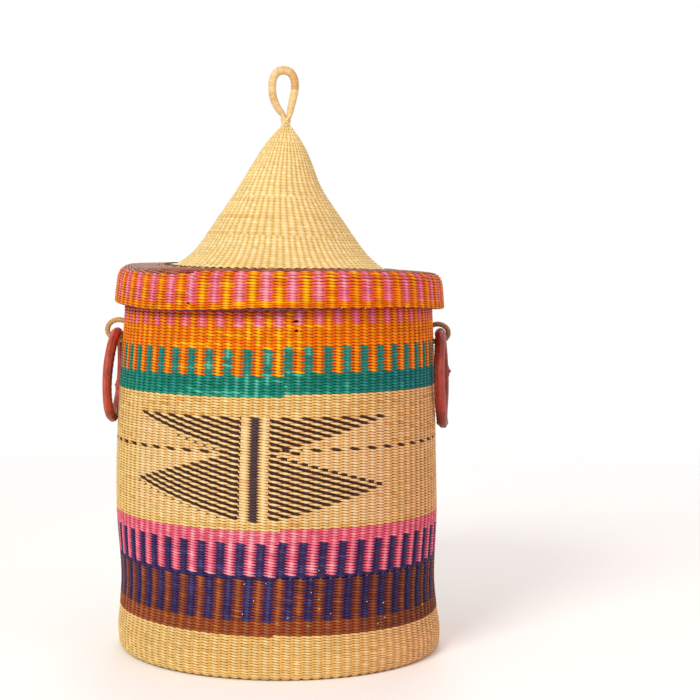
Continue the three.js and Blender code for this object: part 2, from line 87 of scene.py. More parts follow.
def within(value, low, high):
    return (value >= low) & (value <= high)


def bell(at, width, power=2):
    """1 at zero and nothing beyond a few widths."""
    return np.exp(-(at / width) ** power)


def between(at, low, full, fade, high):
    """1 from full to fade, and 0 below low and above high."""
    return smoothstep(at, low, full) * (1 - smoothstep(at, fade, high))


def from_front(degrees):
    """An azimuth counted from the front, from -180 to 180."""
    return (degrees + 180) % 360 - 180


def hash01(*parts):
    """A repeatable number from 0 to 1 for each set of whole numbers."""
    value = 0.0
    for k, part in enumerate(parts):
        value = value + np.asarray(part, float) * (12.9898 + 65.345 * k)
    value = np.sin(value) * 43758.5453
    return value - np.floor(value)


WAVES = ((1, 1.0), (2, 0.6), (3, 0.4), (5, 0.25))  # how many to a turn, and their size


def wander(at, seed):
    """A slow closed wave round the basket, from about -1 to 1; at runs from 0 to 1 for a turn."""
    total = sum(size * np.sin(TAU * (k * at + hash01(seed, k))) for k, size in WAVES)
    return total / sum(size for _, size in WAVES)


def unit(vectors):
    return vectors / np.linalg.norm(vectors, axis=1, keepdims=True)


def distances(path):
    """How far along a path each of its points is."""
    return np.concatenate([[0], np.cumsum(np.linalg.norm(np.diff(path, axis=0), axis=1))])


def add_mesh(name, verts, quads, caps=(), colours=None, fibre=None, bake=None, material=None):
    """A smooth-shaded mesh from arrays. colours, fibre and bake hold one row for each corner of
    the quads; the corners of the caps take the last one."""
    me = bpy.data.meshes.new(name)
    me.vertices.add(len(verts))
    me.vertices.foreach_set("co", (np.asarray(verts, float) * MM).astype(np.float32).ravel())
    sizes = np.concatenate([np.full(len(quads), 4), [len(c) for c in caps]]).astype(int)
    loops = np.concatenate([quads.ravel()] + [np.asarray(c) for c in caps]).astype(np.int32)
    starts = np.concatenate([[0], np.cumsum(sizes)[:-1]]).astype(np.int32)
    me.loops.add(len(loops))
    me.loops.foreach_set("vertex_index", loops)
    me.polygons.add(len(sizes))
    me.polygons.foreach_set("loop_start", starts)
    me.polygons.foreach_set("use_smooth", np.ones(len(sizes), bool))
    me.update(calc_edges=True)
    me.validate()
    corner = np.minimum(np.arange(len(loops)), quads.size - 1)
    if colours is not None:
        rgba = np.ones((len(loops), 4), np.float32)
        rgba[:, :3] = colours[corner]
        layer = me.color_attributes.new("Dye", "FLOAT_COLOR", "CORNER")
        layer.data.foreach_set("color", rgba.ravel())
    for label, values in (("OFBake", bake), ("Fibre", fibre)):
        if values is not None:
            layer = me.uv_layers.new(name=label)
            layer.data.foreach_set("uv", values[corner].astype(np.float32).ravel())
    obj = bpy.data.objects.new(name, me)
    bpy.context.scene.collection.objects.link(obj)
    if material:
        me.materials.append(material)
    return obj


def hand_over(piece, body, slot_name, *nodes):
    """Gives a piece its body (slot_name is not used) and hides the CAD nodes that it replaces."""
    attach(piece, body)
    if nodes:
        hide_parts(*nodes)


# Camera, worked out from the photograph

PHOTO_FOCAL = 1640.8 / 700  # focal length over picture width
SENSOR_WIDTH = 36
AXIS_DISTANCE = 2.046  # from the basket's axis, in metres
CAMERA_HEIGHT = 0.4866
CAMERA_TILT = 3.33  # degrees below level
CAMERA_SHIFT = 0.1022  # the basket stands left of the picture's middle

cam_data = bpy.data.cameras.new("camera")
cam_data.sensor_width = SENSOR_WIDTH
cam_data.lens = SENSOR_WIDTH * PHOTO_FOCAL
cam_data.shift_x = CAMERA_SHIFT
cam = bpy.data.objects.new("camera", cam_data)
cam.location = (0, -AXIS_DISTANCE, CAMERA_HEIGHT)
cam.rotation_euler = (math.radians(90 - CAMERA_TILT), 0, 0)
bpy.context.scene.collection.objects.link(cam)
bpy.context.scene.camera = cam

# Materials


def new_material(name):
    mat = bpy.data.materials.new(name)
    mat.use_nodes = True
    mat.node_tree.nodes.clear()
    return mat


def node(mat, kind, inputs=None, **settings):
    """Adds one node; inputs maps a socket's name to a value or to another node's output."""
    made = mat.node_tree.nodes.new(kind)
    for key, value in settings.items():
        setattr(made, key, value)
    for key, value in (inputs or {}).items():
        socket = made.inputs[key]
        if isinstance(value, bpy.types.NodeSocket):
            mat.node_tree.links.new(value, socket)
        else:
            socket.default_value = value
    return made


def ramp(mat, source, stops):
    """A colour ramp; stops are (place, linear rgb or grey)."""
    made = node(mat, "ShaderNodeValToRGB", {"Fac": source})
    elements = made.color_ramp.elements
    while len(elements) < len(stops):
        elements.new(0.5)
    for element, (place, colour) in zip(elements, stops):
        element.position = place
        rgb = (colour,) * 3 if np.isscalar(colour) else tuple(colour)
        element.color = (*rgb, 1)
    return made.outputs["Color"]


def mesh_inputs(mat):
    """The mesh's dye, and the place along and around the strand in mm."""
    dye = node(mat, "ShaderNodeAttribute", attribute_name="Dye")
    place = node(mat, "ShaderNodeUVMap", uv_map="Fibre")
    return dye.outputs["Color"], place.outputs["UV"]


def stretched_noise(mat, place, along, around, detail, roughness=0.5):
    """Noise with so many cells for each mm along and around the strand."""
    scaled = node(mat, "ShaderNodeMapping", {"Vector": place, "Scale": (along, around, 1.0)})
    made = node(mat, "ShaderNodeTexNoise", {"Vector": scaled.outputs["Vector"], "Scale": 1.0,
                                            "Detail": detail, "Roughness": roughness})
    return made.outputs["Fac"]


def times(mat, first, second):
    """One colour multiplied by another."""
    made = node(mat, "ShaderNodeMix", {"Factor": 1.0, 6: first, 7: second}, data_type="RGBA",
                blend_type="MULTIPLY")
    return made.outputs[2]


def surface_output(mat, colour, roughness, bump, specular):
    shader = node(mat, "ShaderNodeBsdfPrincipled", {
        "Base Color": colour, "Roughness": roughness, "Normal": bump.outputs["Normal"],
        "Specular IOR Level": specular})
    node(mat, "ShaderNodeOutputMaterial", {"Surface": shader.outputs["BSDF"]})
    return mat


def grass_material(name, roughness=0.6, streak=0.3, specular=0.2):
    """Split and twisted grass: the strand's dye from the mesh, fine streaks along the fibre."""
    mat = new_material(name)
    dye, place = mesh_inputs(mat)
    # Streaks: 0.25 mm wide and about 6 mm long, along the strand.
    fine = stretched_noise(mat, place, 0.16, 4.0, 3.0, 0.6)
    # Blotches: 4 mm across and 25 mm long, where the stalk is browner or greener.
    broad = stretched_noise(mat, place, 0.04, 0.25, 2.0)
    light = ramp(mat, fine, [(0.25, 1 - streak), (0.75, 1.0)])
    patch = ramp(mat, broad, [(0.3, 0.86), (0.7, 1.0)])
    bump = node(mat, "ShaderNodeBump", {"Height": fine, "Strength": 0.6, "Distance": 0.00015})
    return surface_output(mat, times(mat, times(mat, dye, light), patch), roughness, bump, specular)


TWINED_GRASS = grass_material("twined_grass", specular=0.1)
STAKE_GRASS = grass_material("stake_grass", roughness=0.65)
WRAPPING_GRASS = grass_material("wrapping_grass", roughness=0.45, streak=0.25, specular=0.3)

# Dyes

STRAW, STRAW_PALE, STRAW_GOLD, STRAW_LID = map(linear, ("#f0cf8c", "#fbe6ac", "#e4b062", "#d9aa68"))
MOTIF, MOTIF_BAR, CREAM = map(linear, ("#422b25", "#4f3d42", "#f7dab2"))
# The light second tones (TEAL_LIGHT, ORANGE_YELLOW, PINK_LIGHT, PINK_PALE, BLUE_LIGHT) are partly the
# grass's own paler tone and partly painted highlight on the crests and the lit front.
TEAL, TEAL_LIGHT = map(linear, ("#258779", "#52b8a0"))
ORANGE, ORANGE_YELLOW = map(linear, ("#f28c06", "#fcb70d"))
PINK, PINK_LIGHT, PINK_PALE = map(linear, ("#ec7b90", "#f9a3ae", "#f79ca7"))
BLUE, BLUE_LIGHT = map(linear, ("#3a2f5a", "#4a4270"))
BROWN, BROWN_DARK, BROWN_DEEP = map(linear, ("#a85f34", "#965638", "#8a4c32"))
LID_BROWN, LID_BLACK, LID_BROWN_SHEEN, MAROON = map(linear, ("#9c5742", "#4c322e", "#be9f96", "#74282a"))
CONE_STRAW, CONE_PALE = map(linear, ("#efd18a", "#fbe9ac"))
LOOP_PALE, LOOP_TAN = map(linear, ("#f8dc9e", "#e2ae66"))
EYELET_TAN, EYELET_BROWN = map(linear, ("#d8aa68", "#aa7c4c"))
# Lit and shaded copies of one red leather: the left ring painted lighter, the right darker, as light falls
# on them.
LEATHER_LIT, LEATHER_SHADED = map(linear, ("#c04a36", "#a83c2e"))

# Tubes


def ring_arrays(verts, closed):
    """Quads and end caps for rings of points, shape (rings, points, 3)."""
    n, k = verts.shape[:2]
    i = np.arange(n if closed else n - 1)[:, None]
    j = np.arange(k)[None, :]
    inext = (i + 1) % n
    jn = (j + 1) % k
    quads = stack(i * k + j, i * k + jn, inext * k + jn, inext * k + j).reshape(-1, 4)
    caps = [] if closed else [list(range(k)), list(range((n - 1) * k, n * k))[::-1]]
    return quads, caps


def rings_round(centre, across, up, section):
    """Rings of points round each place; section is (k, 2) or (n, k, 2) as (across, up)."""
    return centre[:, None, :] + across[:, None, :] * section[..., :1] + up[:, None, :] * section[..., 1:]


def four_corners(start, end, low, high, twist=(0, 0)):
    """Two values for each corner of a tube's quads: one from start to end along it, and one from
    low to high around it, turned on by twist at the start and at the end."""
    corners = ((start, low + twist[0]), (start, high + twist[0]),
               (end, high + twist[1]), (end, low + twist[1]))
    pairs = [stack(*np.broadcast_arrays(*corner)) for corner in corners]
    return np.stack(pairs, axis=2).reshape(-1, 2)


def join_tubes(name, tubes, material):
    """One mesh from tubes. Each is its rings of points, whether it is closed, and the colours,
    places along the fibre and places for baking of its quads' corners."""
    verts, quads, caps = [], [], []
    base = 0
    for points, closed, *_ in tubes:
        tube_quads, tube_caps = ring_arrays(points, closed)
        verts.append(points.reshape(-1, 3))
        quads.append(tube_quads + base)
        caps.extend([[v + base for v in cap] for cap in tube_caps])
        base += len(verts[-1])
    colours, fibre, bake = (np.concatenate([tube[i] for tube in tubes]) for i in (2, 3, 4))
    return add_mesh(name, np.concatenate(verts), np.concatenate(quads), caps, colours, fibre, bake,
                    material)


def join_rings(name, strands, material, seed=0):
    """One mesh from several tubes: strands holds (points, closed, colour), with one colour for the
    tube or one for each ring."""
    tubes = []
    count = len(strands)
    for number, (points, closed, colour) in enumerate(strands):
        n, k = points.shape[:2]
        rings = n if closed else n - 1
        middle = points.mean(axis=1)
        step = np.linalg.norm(np.diff(middle, axis=0, append=middle[:1]), axis=1)
        along = np.concatenate([[0], np.cumsum(step)])[:rings + 1, None] + hash01(number, seed) * 500
        girth = np.linspace(0, 1, k + 1) * np.linalg.norm(points[0] - middle[0], axis=1).mean() * TAU
        fibre = four_corners(along[:-1], along[1:], girth[:-1], girth[1:])
        share = np.linspace(0, 1, rings + 1)[:, None]
        lane = (number + 0.04 + 0.92 * girth / girth[-1]) / count
        bake = four_corners(share[:-1], share[1:], lane[:-1], lane[1:])
        rgb = np.broadcast_to(np.asarray(colour, float), (n, 3))[:rings]
        tubes.append((points, closed, np.repeat(rgb, 4 * k, axis=0), fibre, bake))
    return join_tubes(name, tubes, material)


def circle(k, radius=1.0):
    a = np.arange(k) / k * TAU
    return stack(radius * np.cos(a), radius * np.sin(a))


def frames(path, hint, closed=False):
    """Forward, across and up directions along a path; up leans to the hint."""
    if closed:
        forward = np.roll(path, -1, axis=0) - np.roll(path, 1, axis=0)
    else:
        forward = np.gradient(path, axis=0)
    forward = unit(forward)
    across = unit(np.cross(forward, np.broadcast_to(np.asarray(hint, float), path.shape)))
    return forward, across, np.cross(across, forward)


def around_path(path, hint, section, closed=False):
    """Rings of points round a path, with a section as in rings_round."""
    _, across, up = frames(path, hint, closed)
    return rings_round(path, across, up, section)


# Twining

SIDES = np.radians([0, 52, 108, 180, 252, 308])  # points round a strand, more on its outer face
STEPS = 4  # points along a strand for each stake it passes


def painted_valley_shade(rgb, valley):
    """Painted shade and highlight: the colour darker and purer in the valleys between stitches and rows,
    where shade falls, and paler on the crests, where light falls.
    """
    hue = np.clip(rgb / rgb.max(axis=-1, keepdims=True), 0.03, 1)
    deep = rgb * hue ** (0.58 * valley) * (1 - 0.11 * valley)
    purple = np.clip(hue[..., 2:] - hue[..., 1:2], 0, 0.15)
    return deep * np.concatenate([np.ones_like(deep[..., :2]), 1 + 0.8 * purple * valley], axis=-1)


def twine(name, surface, heights, stakes, seam, dye, depth=1.45, swing=0.19, high=0.55, low=0.36,
          thick=1.2, stake_width=12.0, seed=0, sides=SIDES, steps=STEPS, bias=0.0, relief=1.0,
          girth=None, ending="spiral", edges=1.3, crest=1.5):
    """One band of twining: two strands that pass outside and inside of the stakes in turn and
    twist about each other between them, row under row in one long spiral.

    surface(s, h) gives centre, outward and upward directions at stake coordinate s and height h.
    heights holds the rows' upper edges and the last row's lower edge, at the end of each turn.
    dye(row, s, weaver) gives the linear colour of the strand.
    depth is the strands' swing through the wall, swing their rise and fall over the row height,
    high and low their half-height over it, at a stake and at a crossing. bias makes the first
    strand's stitches shorter than the second's. relief scales the painted shade in the valleys
    between the stitches and the painted highlight on their crests; girth(row, s, weaver), if given,
    makes strands thinner or fatter. ending is "spiral", "flat" where the last row meets a level
    edge, or "rings" where every row is level. edges scales the painted shade in the valleys between
    rows; a small crest makes the painted shade in the valleys between stitches narrow."""
    heights = np.asarray(heights, float)
    rows = len(heights) - 1
    count = rows * stakes * steps
    u = np.arange(count + 1) / steps
    row = np.minimum((u // stakes).astype(int), rows - 1)
    s = seam + u - row * stakes
    turn = (s - seam) / stakes
    # q counts rows from the top; a strand's centre passes from one row's level to the next.
    q = row + turn - 0.5
    taller = 1.0
    if ending == "flat":
        q = q + (1 - turn) * (row + 0.5) / rows
        taller = 1 + (1 - turn) / rows
    if ending == "rings":
        q = row + 0.5 + smoothstep(turn, 1 - 0.5 / stakes, 1) * (row < rows - 1)
    edge = np.arange(rows + 1)
    first = heights[0] - heights[1]
    last = heights[-2] - heights[-1]
    level = np.interp(q, edge, heights)
    level = np.where(q < 0, heights[0] - q * first, level)
    level = np.where(q > rows, heights[-1] - (q - rows) * last, level)
    pitch = (heights[row] - heights[row + 1]) * taller
    middle = (u[:-1] + u[1:]) / 2
    mid_row = np.minimum((middle // stakes).astype(int), rows - 1)
    mid_s = seam + middle - mid_row * stakes
    along = u[:, None] * stake_width
    around = np.append(sides, TAU)
    face = 0.5 * edges * (1 - np.cos(around))
    share = 0.92 * np.arange(len(sides) + 1) / len(sides)
    tubes = []
    for weaver in (0, 1):
        phase = np.pi * (s - weaver)
        uneven = hash01(np.round(s), row + seed, weaver) - 0.5
        out = np.cos(phase)
        size = out * out
        rho = depth * (out + (bias if weaver else -bias)) * (1 + 0.12 * uneven)
        rise = -swing * pitch * np.sin(phase) + 0.07 * pitch * uneven * out * out
        half = pitch * (low + (high - low) * size) * (1 + 0.1 * uneven)
        if girth:
            half = half * girth(row, s, weaver)
        thickness = thick * (1.1 - 0.2 * size)
        section = stack(rho[:, None] + thickness[:, None] * np.cos(sides),
                        half[:, None] * np.sin(sides))
        points = rings_round(*surface(s, level + rise), section)
        rgb = dye(mid_row, mid_s, weaver)
        v0, v1 = 1 - size[:-1, None] ** crest, 1 - size[1:, None] ** crest
        # Painted shade in the valleys between stitches and rows, and a painted highlight on the crests
        valley = np.stack([v0 + face[:-1], v0 + face[1:], v1 + face[1:], v1 + face[:-1]], axis=2) - 0.4
        colours = painted_valley_shade(rgb[:, None, None, :], relief * valley[..., None]).reshape(-1, 3)
        shift = hash01(row[:-1] * 2 + weaver, seed)[:, None] * 900
        fibre = four_corners(along[:-1] + shift, along[1:] + shift, around[:-1] * 1.3, around[1:] * 1.3,
                             (along[:-1] * 0.25, along[1:] * 0.25))
        lane = (mid_row * 2 + weaver)[:, None] + 0.04
        bake = four_corners(((mid_s - seam - 0.5 / steps) / stakes)[:, None],
                            ((mid_s - seam + 0.5 / steps) / stakes)[:, None],
                            (lane + share[:-1]) / (2 * rows), (lane + share[1:]) / (2 * rows))
        tubes.append((points, False, colours, fibre, bake))
    return join_tubes(name, tubes, TWINED_GRASS)


def shade(colour, row, s, weaver, spread=0.12, seed=0, other=None, share=0.0, column_rows=0):
    """A strand's colour with each stitch a little lighter or darker, and some in another tone. The
    other tone follows the strands or, with column_rows, mostly the crest of a stake for some rows,
    where a light other tone is partly a painted highlight."""
    stitch = np.round(s)
    tone = hash01(stitch, row, weaver + seed)
    slow = hash01(row, weaver + seed + 7)
    value = 1 + spread * (tone - 0.5) * 2 + spread * 0.6 * (slow - 0.5) * 2
    rgb = np.broadcast_to(colour, (len(s), 3))
    if other is not None:
        pick = hash01(np.floor(s / 5 + 31 * slow), row, weaver + seed + 3)
        if column_rows:
            block = np.floor(row / column_rows + 3 * hash01(stitch, seed))
            column = hash01(stitch, block, weaver + seed)
            # Painted highlight: a light other tone is strongest on the stake's crest.
            crest = np.cos(np.pi * (s - weaver)) ** 2
            mix = np.clip((pick - 1 + 0.35 * share) / 0.1, 0, 1)
            on_crest = np.clip((column - 1 + share) / 0.3, 0, 1) * (0.15 + 0.85 * crest ** 2)
            mix = np.maximum(mix, on_crest)[:, None]
        else:
            mix = np.clip((pick - (1 - share)) / 0.1, 0, 1)[:, None]
        rgb = rgb * (1 - mix) + other * mix
    return rgb * value[:, None]


# The body's wall

WALL = 5.5  # thickness of the woven wall
FOOT_RADIUS, FOOT_CORNER = 201.4, 8
CORNER_REACH = 10  # height that the foot's corner takes up in h
NECK_RADIUS = 189.2  # of the wall's top
WALL_TOP = 456.7
LID_TILT = math.radians(1.6)
STAKES = 104
SEAM = 2.65  # stake coordinate at which each turn of the spiral begins
WALL_ZERO = -7  # azimuth of the motif's middle stake at half the wall's height, in degrees

# Height, stake and half-width of two small gaps between rows; how far the rows are pushed apart
# there, over what height they turn from down to up, and over what height the push fades, in mm
ORANGE_GAPS = ((411.0, 3.74, 0.36), (400.2, 3.84, 0.3))
GAP_PUSH, GAP_CORE, GAP_FADE = 1.9, 0.6, 3.5

wall_radius = smooth_through([(8, FOOT_RADIUS), (25.7, 202.2), (51.4, 199.2), (92, 196.5), (178.5, 200.6),
                              (325, 196.6), (WALL_TOP, NECK_RADIUS)])
wall_sway = smooth_through([(8, 1), (116, -1.2), (249, -2.6), (404, 0), (WALL_TOP, 0)])
band_slope = smooth_through([(0, 0), (51.4, 0.012), (173, 0.006), (325, 0), (404, 0)])
# Right of the front the lower bands hang lower still, by up to this much.
band_dip = smooth_through([(0, 0), (51.4, 2.4), (173, 1.2), (325, 0), (404, 0)])
# Azimuth of the motif's middle stake by height, in degrees: the stakes lean.
stake_zero = smooth_through([(0, -11.6), (22, -11.5), (62, -10.9), (92, -10.15), (139, -9.0),
                             (184, -7.8), (242, -7.4), (302, -7.1), (362, -6.8), (417, -6.7), (472, -6.6)])


def directions(azimuth, radial, upright):
    """Outward and upward directions of a turned surface, from the outward one's two parts."""
    sx, cx = np.sin(azimuth), np.cos(azimuth)
    outward = stack(radial * sx, -radial * cx, upright + 0 * sx)
    upward = stack(-upright * sx, upright * cx, radial + 0 * sx)
    return outward, upward


def wall_surface(s, h):
    """The wall's middle surface; h is the height, carried on round the foot's corner at the bottom."""
    turn = s / STAKES
    for gap, stake, reach in ORANGE_GAPS:
        away = h - gap
        h = h + (GAP_PUSH * bell(s % STAKES - stake, reach, 4)
                 * np.tanh(away / GAP_CORE) * bell(np.abs(away), GAP_FADE, 1))
    azimuth = np.radians(stake_zero(h)) + TAU * turn
    corner = h < FOOT_CORNER
    angle = np.where(corner, np.minimum((FOOT_CORNER - h) / CORNER_REACH, 1.3) * math.pi / 2, 0)
    bend = FOOT_CORNER - WALL / 2 - 0.5 * np.sin(angle)
    radius = np.where(corner, FOOT_RADIUS - FOOT_CORNER + bend * np.cos(angle), wall_radius(h) - WALL / 2)
    z = np.where(corner, FOOT_CORNER - bend * np.sin(angle), h)
    radius = radius + 0.5 * wander(turn, 3) * smoothstep(h, 20, 60)
    x = radius * np.sin(azimuth) + wall_sway(z)
    z = z - x * (math.tan(LID_TILT) * smoothstep(z, 404, WALL_TOP) + band_slope(z))
    z = z - band_dip(z) * between(from_front(np.degrees(azimuth)), -10, 8, 55, 150)
    z = z + 0.5 * wander(turn, 5) * between(h, 25, 60, 422, 452)
    centre = stack(x, -radius * np.cos(azimuth), z)
    return centre, *directions(azimuth, np.cos(angle), -np.sin(angle))


# Painted shade under the lid's skirt: how much less red, green and blue the rows under the lid show, deeper
# and redder as in its shade
UNDER_LID_SHADE = np.array([-0.05, 0.22, 0.12])


def two_dyes(even, odd, spread=0.12, seed=0, others=(None, None), share=0.25, count=STAKES,
             zero=WALL_ZERO, column_rows=0, covered=0.0):
    """Weaver 0 shows on the even stakes and weaver 1 on the odd ones. Their second tones gather on
    the front, left of the middle, where the light falls most, so light ones are partly painted
    highlight there. Rows above covered are under the lid and get painted shade: deeper and redder,
    with fewer second tones."""
    def dye(row, s, weaver):
        colour = even if weaver == 0 else odd
        # Painted highlight: second tones gather on the lit front, left of the middle.
        near = 0.25 + 1.15 * bell(from_front(zero + 360 * s / count) + 6, 22)
        # Painted shade: rows under the lid are deeper and redder, as in the lid's shade.
        lid_shade = (1 - smoothstep(row, covered - 1.5, covered + 1.5)) * (covered > 0)
        rgb = shade(colour, row, s, weaver, spread, seed, others[weaver], share * near * (1 - lid_shade),
                    column_rows)
        return rgb * (1 - lid_shade[:, None] * UNDER_LID_SHADE)
    return dye


def front(s):
    """Stake number counted from the middle of the front, from -52 to 52."""
    return np.where(s > STAKES / 2, s - STAKES, s)


def motif_dark(i, r, weaver, front_side):
    """Whether a strand is dark at stake coordinate i and level r of the motif: two triangles in
    levels 0 to 11, two in levels 13 to 35, an upright bar, and a ring of dashes between them.

    In each row the dark strand shows at the stakes where i - r is odd."""
    shows = (r + 1) % 2  # the weaver that makes the triangles in this row
    upper, lower = within(r, 0, 11), within(r, 13, 35)
    first = np.where(upper, np.maximum(-13, r - 13), np.maximum(11 - r, r - 37))
    last = np.where(upper, np.minimum(13, 13 - r), np.minimum(r - 11, 37 - r))
    # The first and last dark stitch lie on the weaver's own stakes.
    first = first + ((first - r) % 2 == 0)
    last = last - ((last - r) % 2 == 0)
    # How far the strands run on past them
    early = np.where(r >= 25, 1.72, 0.7)
    late = np.where(lower & (r <= 24), 0.24, 0.62)
    dot = upper & (r >= 7) & (weaver == shows) & (np.abs(i - first + 2.0) < 0.2) & (first < 0)
    in_left = (i < 0) & (i > first - early) & (first <= -2)
    in_right = (i >= 0) & (i < last + late) & (last >= 2)
    gap = (r % 2 == 0) & within(i, -1.25, 1.32)
    triangle = (upper | lower) & (weaver == shows) & (in_left | in_right) & ~gap
    # The upright bar is dark in every row.
    bar = (weaver == 0) & (np.abs(i) < 1.0) & within(r, 0, 36)
    dark = triangle | bar | dot
    if front_side:
        dark = dark | ((r == 12) & (i < -1.4) & (weaver == 1)) | ((r == 11) & (i > 5.2) & (weaver == 0))
        # Stitches where the ring changes from one row to the next
        for row, strand, low, high in ((11, 1, 2.7, 3.45), (12, 0, 3.5, 4.4), (11, 1, 4.25, 4.6)):
            dark = dark | ((r == row) & (weaver == strand) & within(i, low, high))
    return dark


MOTIF_ROW = 8  # row of the natural field at which the motif begins, right of the seam


def motif_level(row, i):
    """A row's level in the motif; left of the seam the same row is one level further down."""
    return row - MOTIF_ROW + np.where(i > SEAM, 0, 1)


def field_dye(row, s, weaver, first_row=0):
    i = front(s)
    row = row + first_row
    rgb = shade(STRAW, row, s, weaver, 0.08, 11, STRAW_GOLD, 0.14)
    pale = hash01(np.floor(s / 3), row, weaver + 5) > 0.85
    rgb = np.where(pale[:, None], rgb * 0.6 + STRAW_PALE * 0.4, rgb)
    level = motif_level(row, i)
    near = np.abs(i) < 27
    dark = near & motif_dark(i, level, weaver, True)
    back = s - STAKES / 2
    dark_back = (np.abs(back) < 25) & motif_dark(back, row - MOTIF_ROW, weaver, False)
    sides = ~near & (np.abs(back) >= 25)
    right_ring = (i > 0) & (level == 11) & (weaver == 0)
    left_ring = (i < 0) & (level == 12) & (weaver == 1)
    dark = dark | dark_back | (sides & (right_ring | left_ring))
    black = shade(MOTIF, row, s, weaver, 0.18, 13)
    bar = near & (np.abs(i) < 1)
    black = np.where(bar[:, None], shade(MOTIF_BAR, row, s, weaver, 0.12, 14), black)
    inside = within(level, 0, 36) & (np.abs(i) < 14)
    rgb = np.where(inside[:, None], rgb * 0.65 + CREAM * 0.35, rgb)
    return np.where(dark[:, None], black, rgb)


def field_girth(row, s, weaver, first_row=0):
    """The dark strands of the motif are thinner than the straw ones."""
    i = front(s)
    level = motif_level(row + first_row, i)
    dark = (np.abs(i) < 27) & (np.abs(i) > 1) & motif_dark(i, level, weaver, True)
    size = np.where(dark, 0.9, 1.0)
    size = np.where(dark & within(i, -2.0, -1.2), 1.7, size)
    size = np.where(dark & within(i, 1.2, 1.8), 1.3, size)
    # The bar's stitches are pointed and reach between the pale ones.
    bar = (np.abs(i) < 1) & within(level, 0, 36)
    taper = smoothstep(np.abs(i), 0.15, 0.6)
    size = np.where(bar & (weaver == 0), 1.05 - 0.5 * taper, size)
    size = np.where(bar & (weaver == 1), 1.0 + 0.25 * taper, size)
    lone = dark & within(level, 7, 11) & within(i, -10, level - 14.4)
    return np.where(lone, 0.5, size)


def band_rows(bottom, top, rows):
    return np.linspace(top, bottom, rows + 1)


def with_painted_right_light(dye, tone):
    """The dye with painted light at the basket's right, fully from 60 to 95 degrees: a painted reddish
    reflection, and painted shade on the darker bands.
    """
    def toned(row, s, weaver):
        right = between(from_front(WALL_ZERO + 360 * s / STAKES), 10, 60, 95, 150)
        return dye(row, s, weaver) * (1 + right[:, None] * (np.array(tone) - 1))
    return toned


WALL_BANDS = [
    # CAD node, bottom, top, rows, slot, dye, and then what is special to it: relief, how much darker
    # and purer its painted valley shade is; bias, where one dye's stitches are longer than the other's;
    # and tone, the painted reddish reflection and shade at the basket's right, as its colour there
    # over its colour at the front
    ("wall_pink_orange_columns", 404, 456.4, 15, "pink_orange_grass",
     two_dyes(PINK, ORANGE, 0.1, 1, (PINK_LIGHT, ORANGE_YELLOW), 0.4, column_rows=4, covered=10.5),
     dict(bias=0.12)),
    ("wall_orange", 379, 404, 7, "orange_grass",
     two_dyes(ORANGE, ORANGE, 0.1, 2, (ORANGE_YELLOW, ORANGE_YELLOW), 0.6, column_rows=5), {}),
    ("wall_teal_orange_columns", 348.6, 379, 9, "teal_orange_grass",
     two_dyes(ORANGE, TEAL, 0.1, 3, (ORANGE_YELLOW, TEAL_LIGHT), 0.4, column_rows=3),
     dict(bias=-0.12, relief=1.6)),
    ("wall_teal", 325, 348.6, 7, "teal_grass",
     two_dyes(TEAL, TEAL, 0.16, 4, (TEAL_LIGHT, TEAL_LIGHT), 0.5, column_rows=5),
     dict(relief=1.9, tone=(0.95, 0.84, 1.05))),
    ("wall_natural_field", 173, 325, 47, "natural_grass", field_dye,
     dict(relief=1.0, tone=(0.96, 0.85, 0.95))),
    ("wall_pink", 158, 173, 5, "pink_grass",
     two_dyes(PINK, PINK, 0.1, 6, (PINK_LIGHT, PINK_LIGHT), 0.6, column_rows=2), dict(relief=1.15)),
    ("wall_pink_blue_columns", 120, 158, 12, "pink_blue_grass",
     two_dyes(PINK, BLUE, 0.12, 7, (PINK_LIGHT, BLUE_LIGHT), 0.55, column_rows=3), dict(relief=1.2)),
    ("wall_blue_line", 116, 120, 1, "blue_grass", two_dyes(BLUE, BLUE, 0.12, 8), dict(relief=0.9)),
    ("wall_brown_blue_columns", 68, 116, 15, "brown_blue_grass",
     two_dyes(BLUE, BROWN_DEEP, 0.16, 9, (BLUE_LIGHT, BROWN), 0.6, column_rows=3),
     dict(relief=1.0, tone=(0.76, 0.8, 0.86))),
    ("wall_brown", 51.4, 68, 5, "brown_grass", two_dyes(BROWN_DARK, BROWN, 0.16, 10),
     dict(relief=1.0, tone=(0.6, 0.66, 0.85))),
    ("wall_foot_natural", -2, 51.4, 17, "natural_grass",
     two_dyes(STRAW, STRAW, 0.1, 12, (STRAW_GOLD, STRAW_GOLD), 0.2, column_rows=1),
     dict(relief=0.9, tone=(0.95, 0.83, 0.95))),
]
MOST_ROWS = 18  # in one mesh; a band with more is made in parts

for node_name, bottom, top, rows, slot_name, dye, special in WALL_BANDS:
    heights = band_rows(bottom, top, rows)
    parts = math.ceil(rows / MOST_ROWS)
    plain = slot_name == "natural_grass"
    low = 0.46 if rows == 1 else 0.36 if plain else 0.33
    sizes = dict(high=0.52 if plain else 0.56, low=low, edges=1.9 if plain else 1.3,
                 bias=special.get("bias", 0.0), relief=special.get("relief", 1.1))
    for part in range(parts):
        start = part * rows // parts
        stop = (part + 1) * rows // parts
        part_dye = dye
        if dye is field_dye:
            part_dye = partial(field_dye, first_row=start)
            sizes["girth"] = partial(field_girth, first_row=start)
        # Painted reddish reflection and shade at the basket's right, by the band's tone
        part_dye = with_painted_right_light(part_dye, special.get("tone", (1, 1, 1)))
        label = f"{node_name}_strands" + (f"_{part + 1}" if parts > 1 else "")
        piece = twine(label, wall_surface, heights[start:stop + 1], STAKES, SEAM, part_dye, seed=start,
                      **sizes)
        hand_over(piece, "basket", slot_name, *[node_name][part:])

# Stakes, base and rim


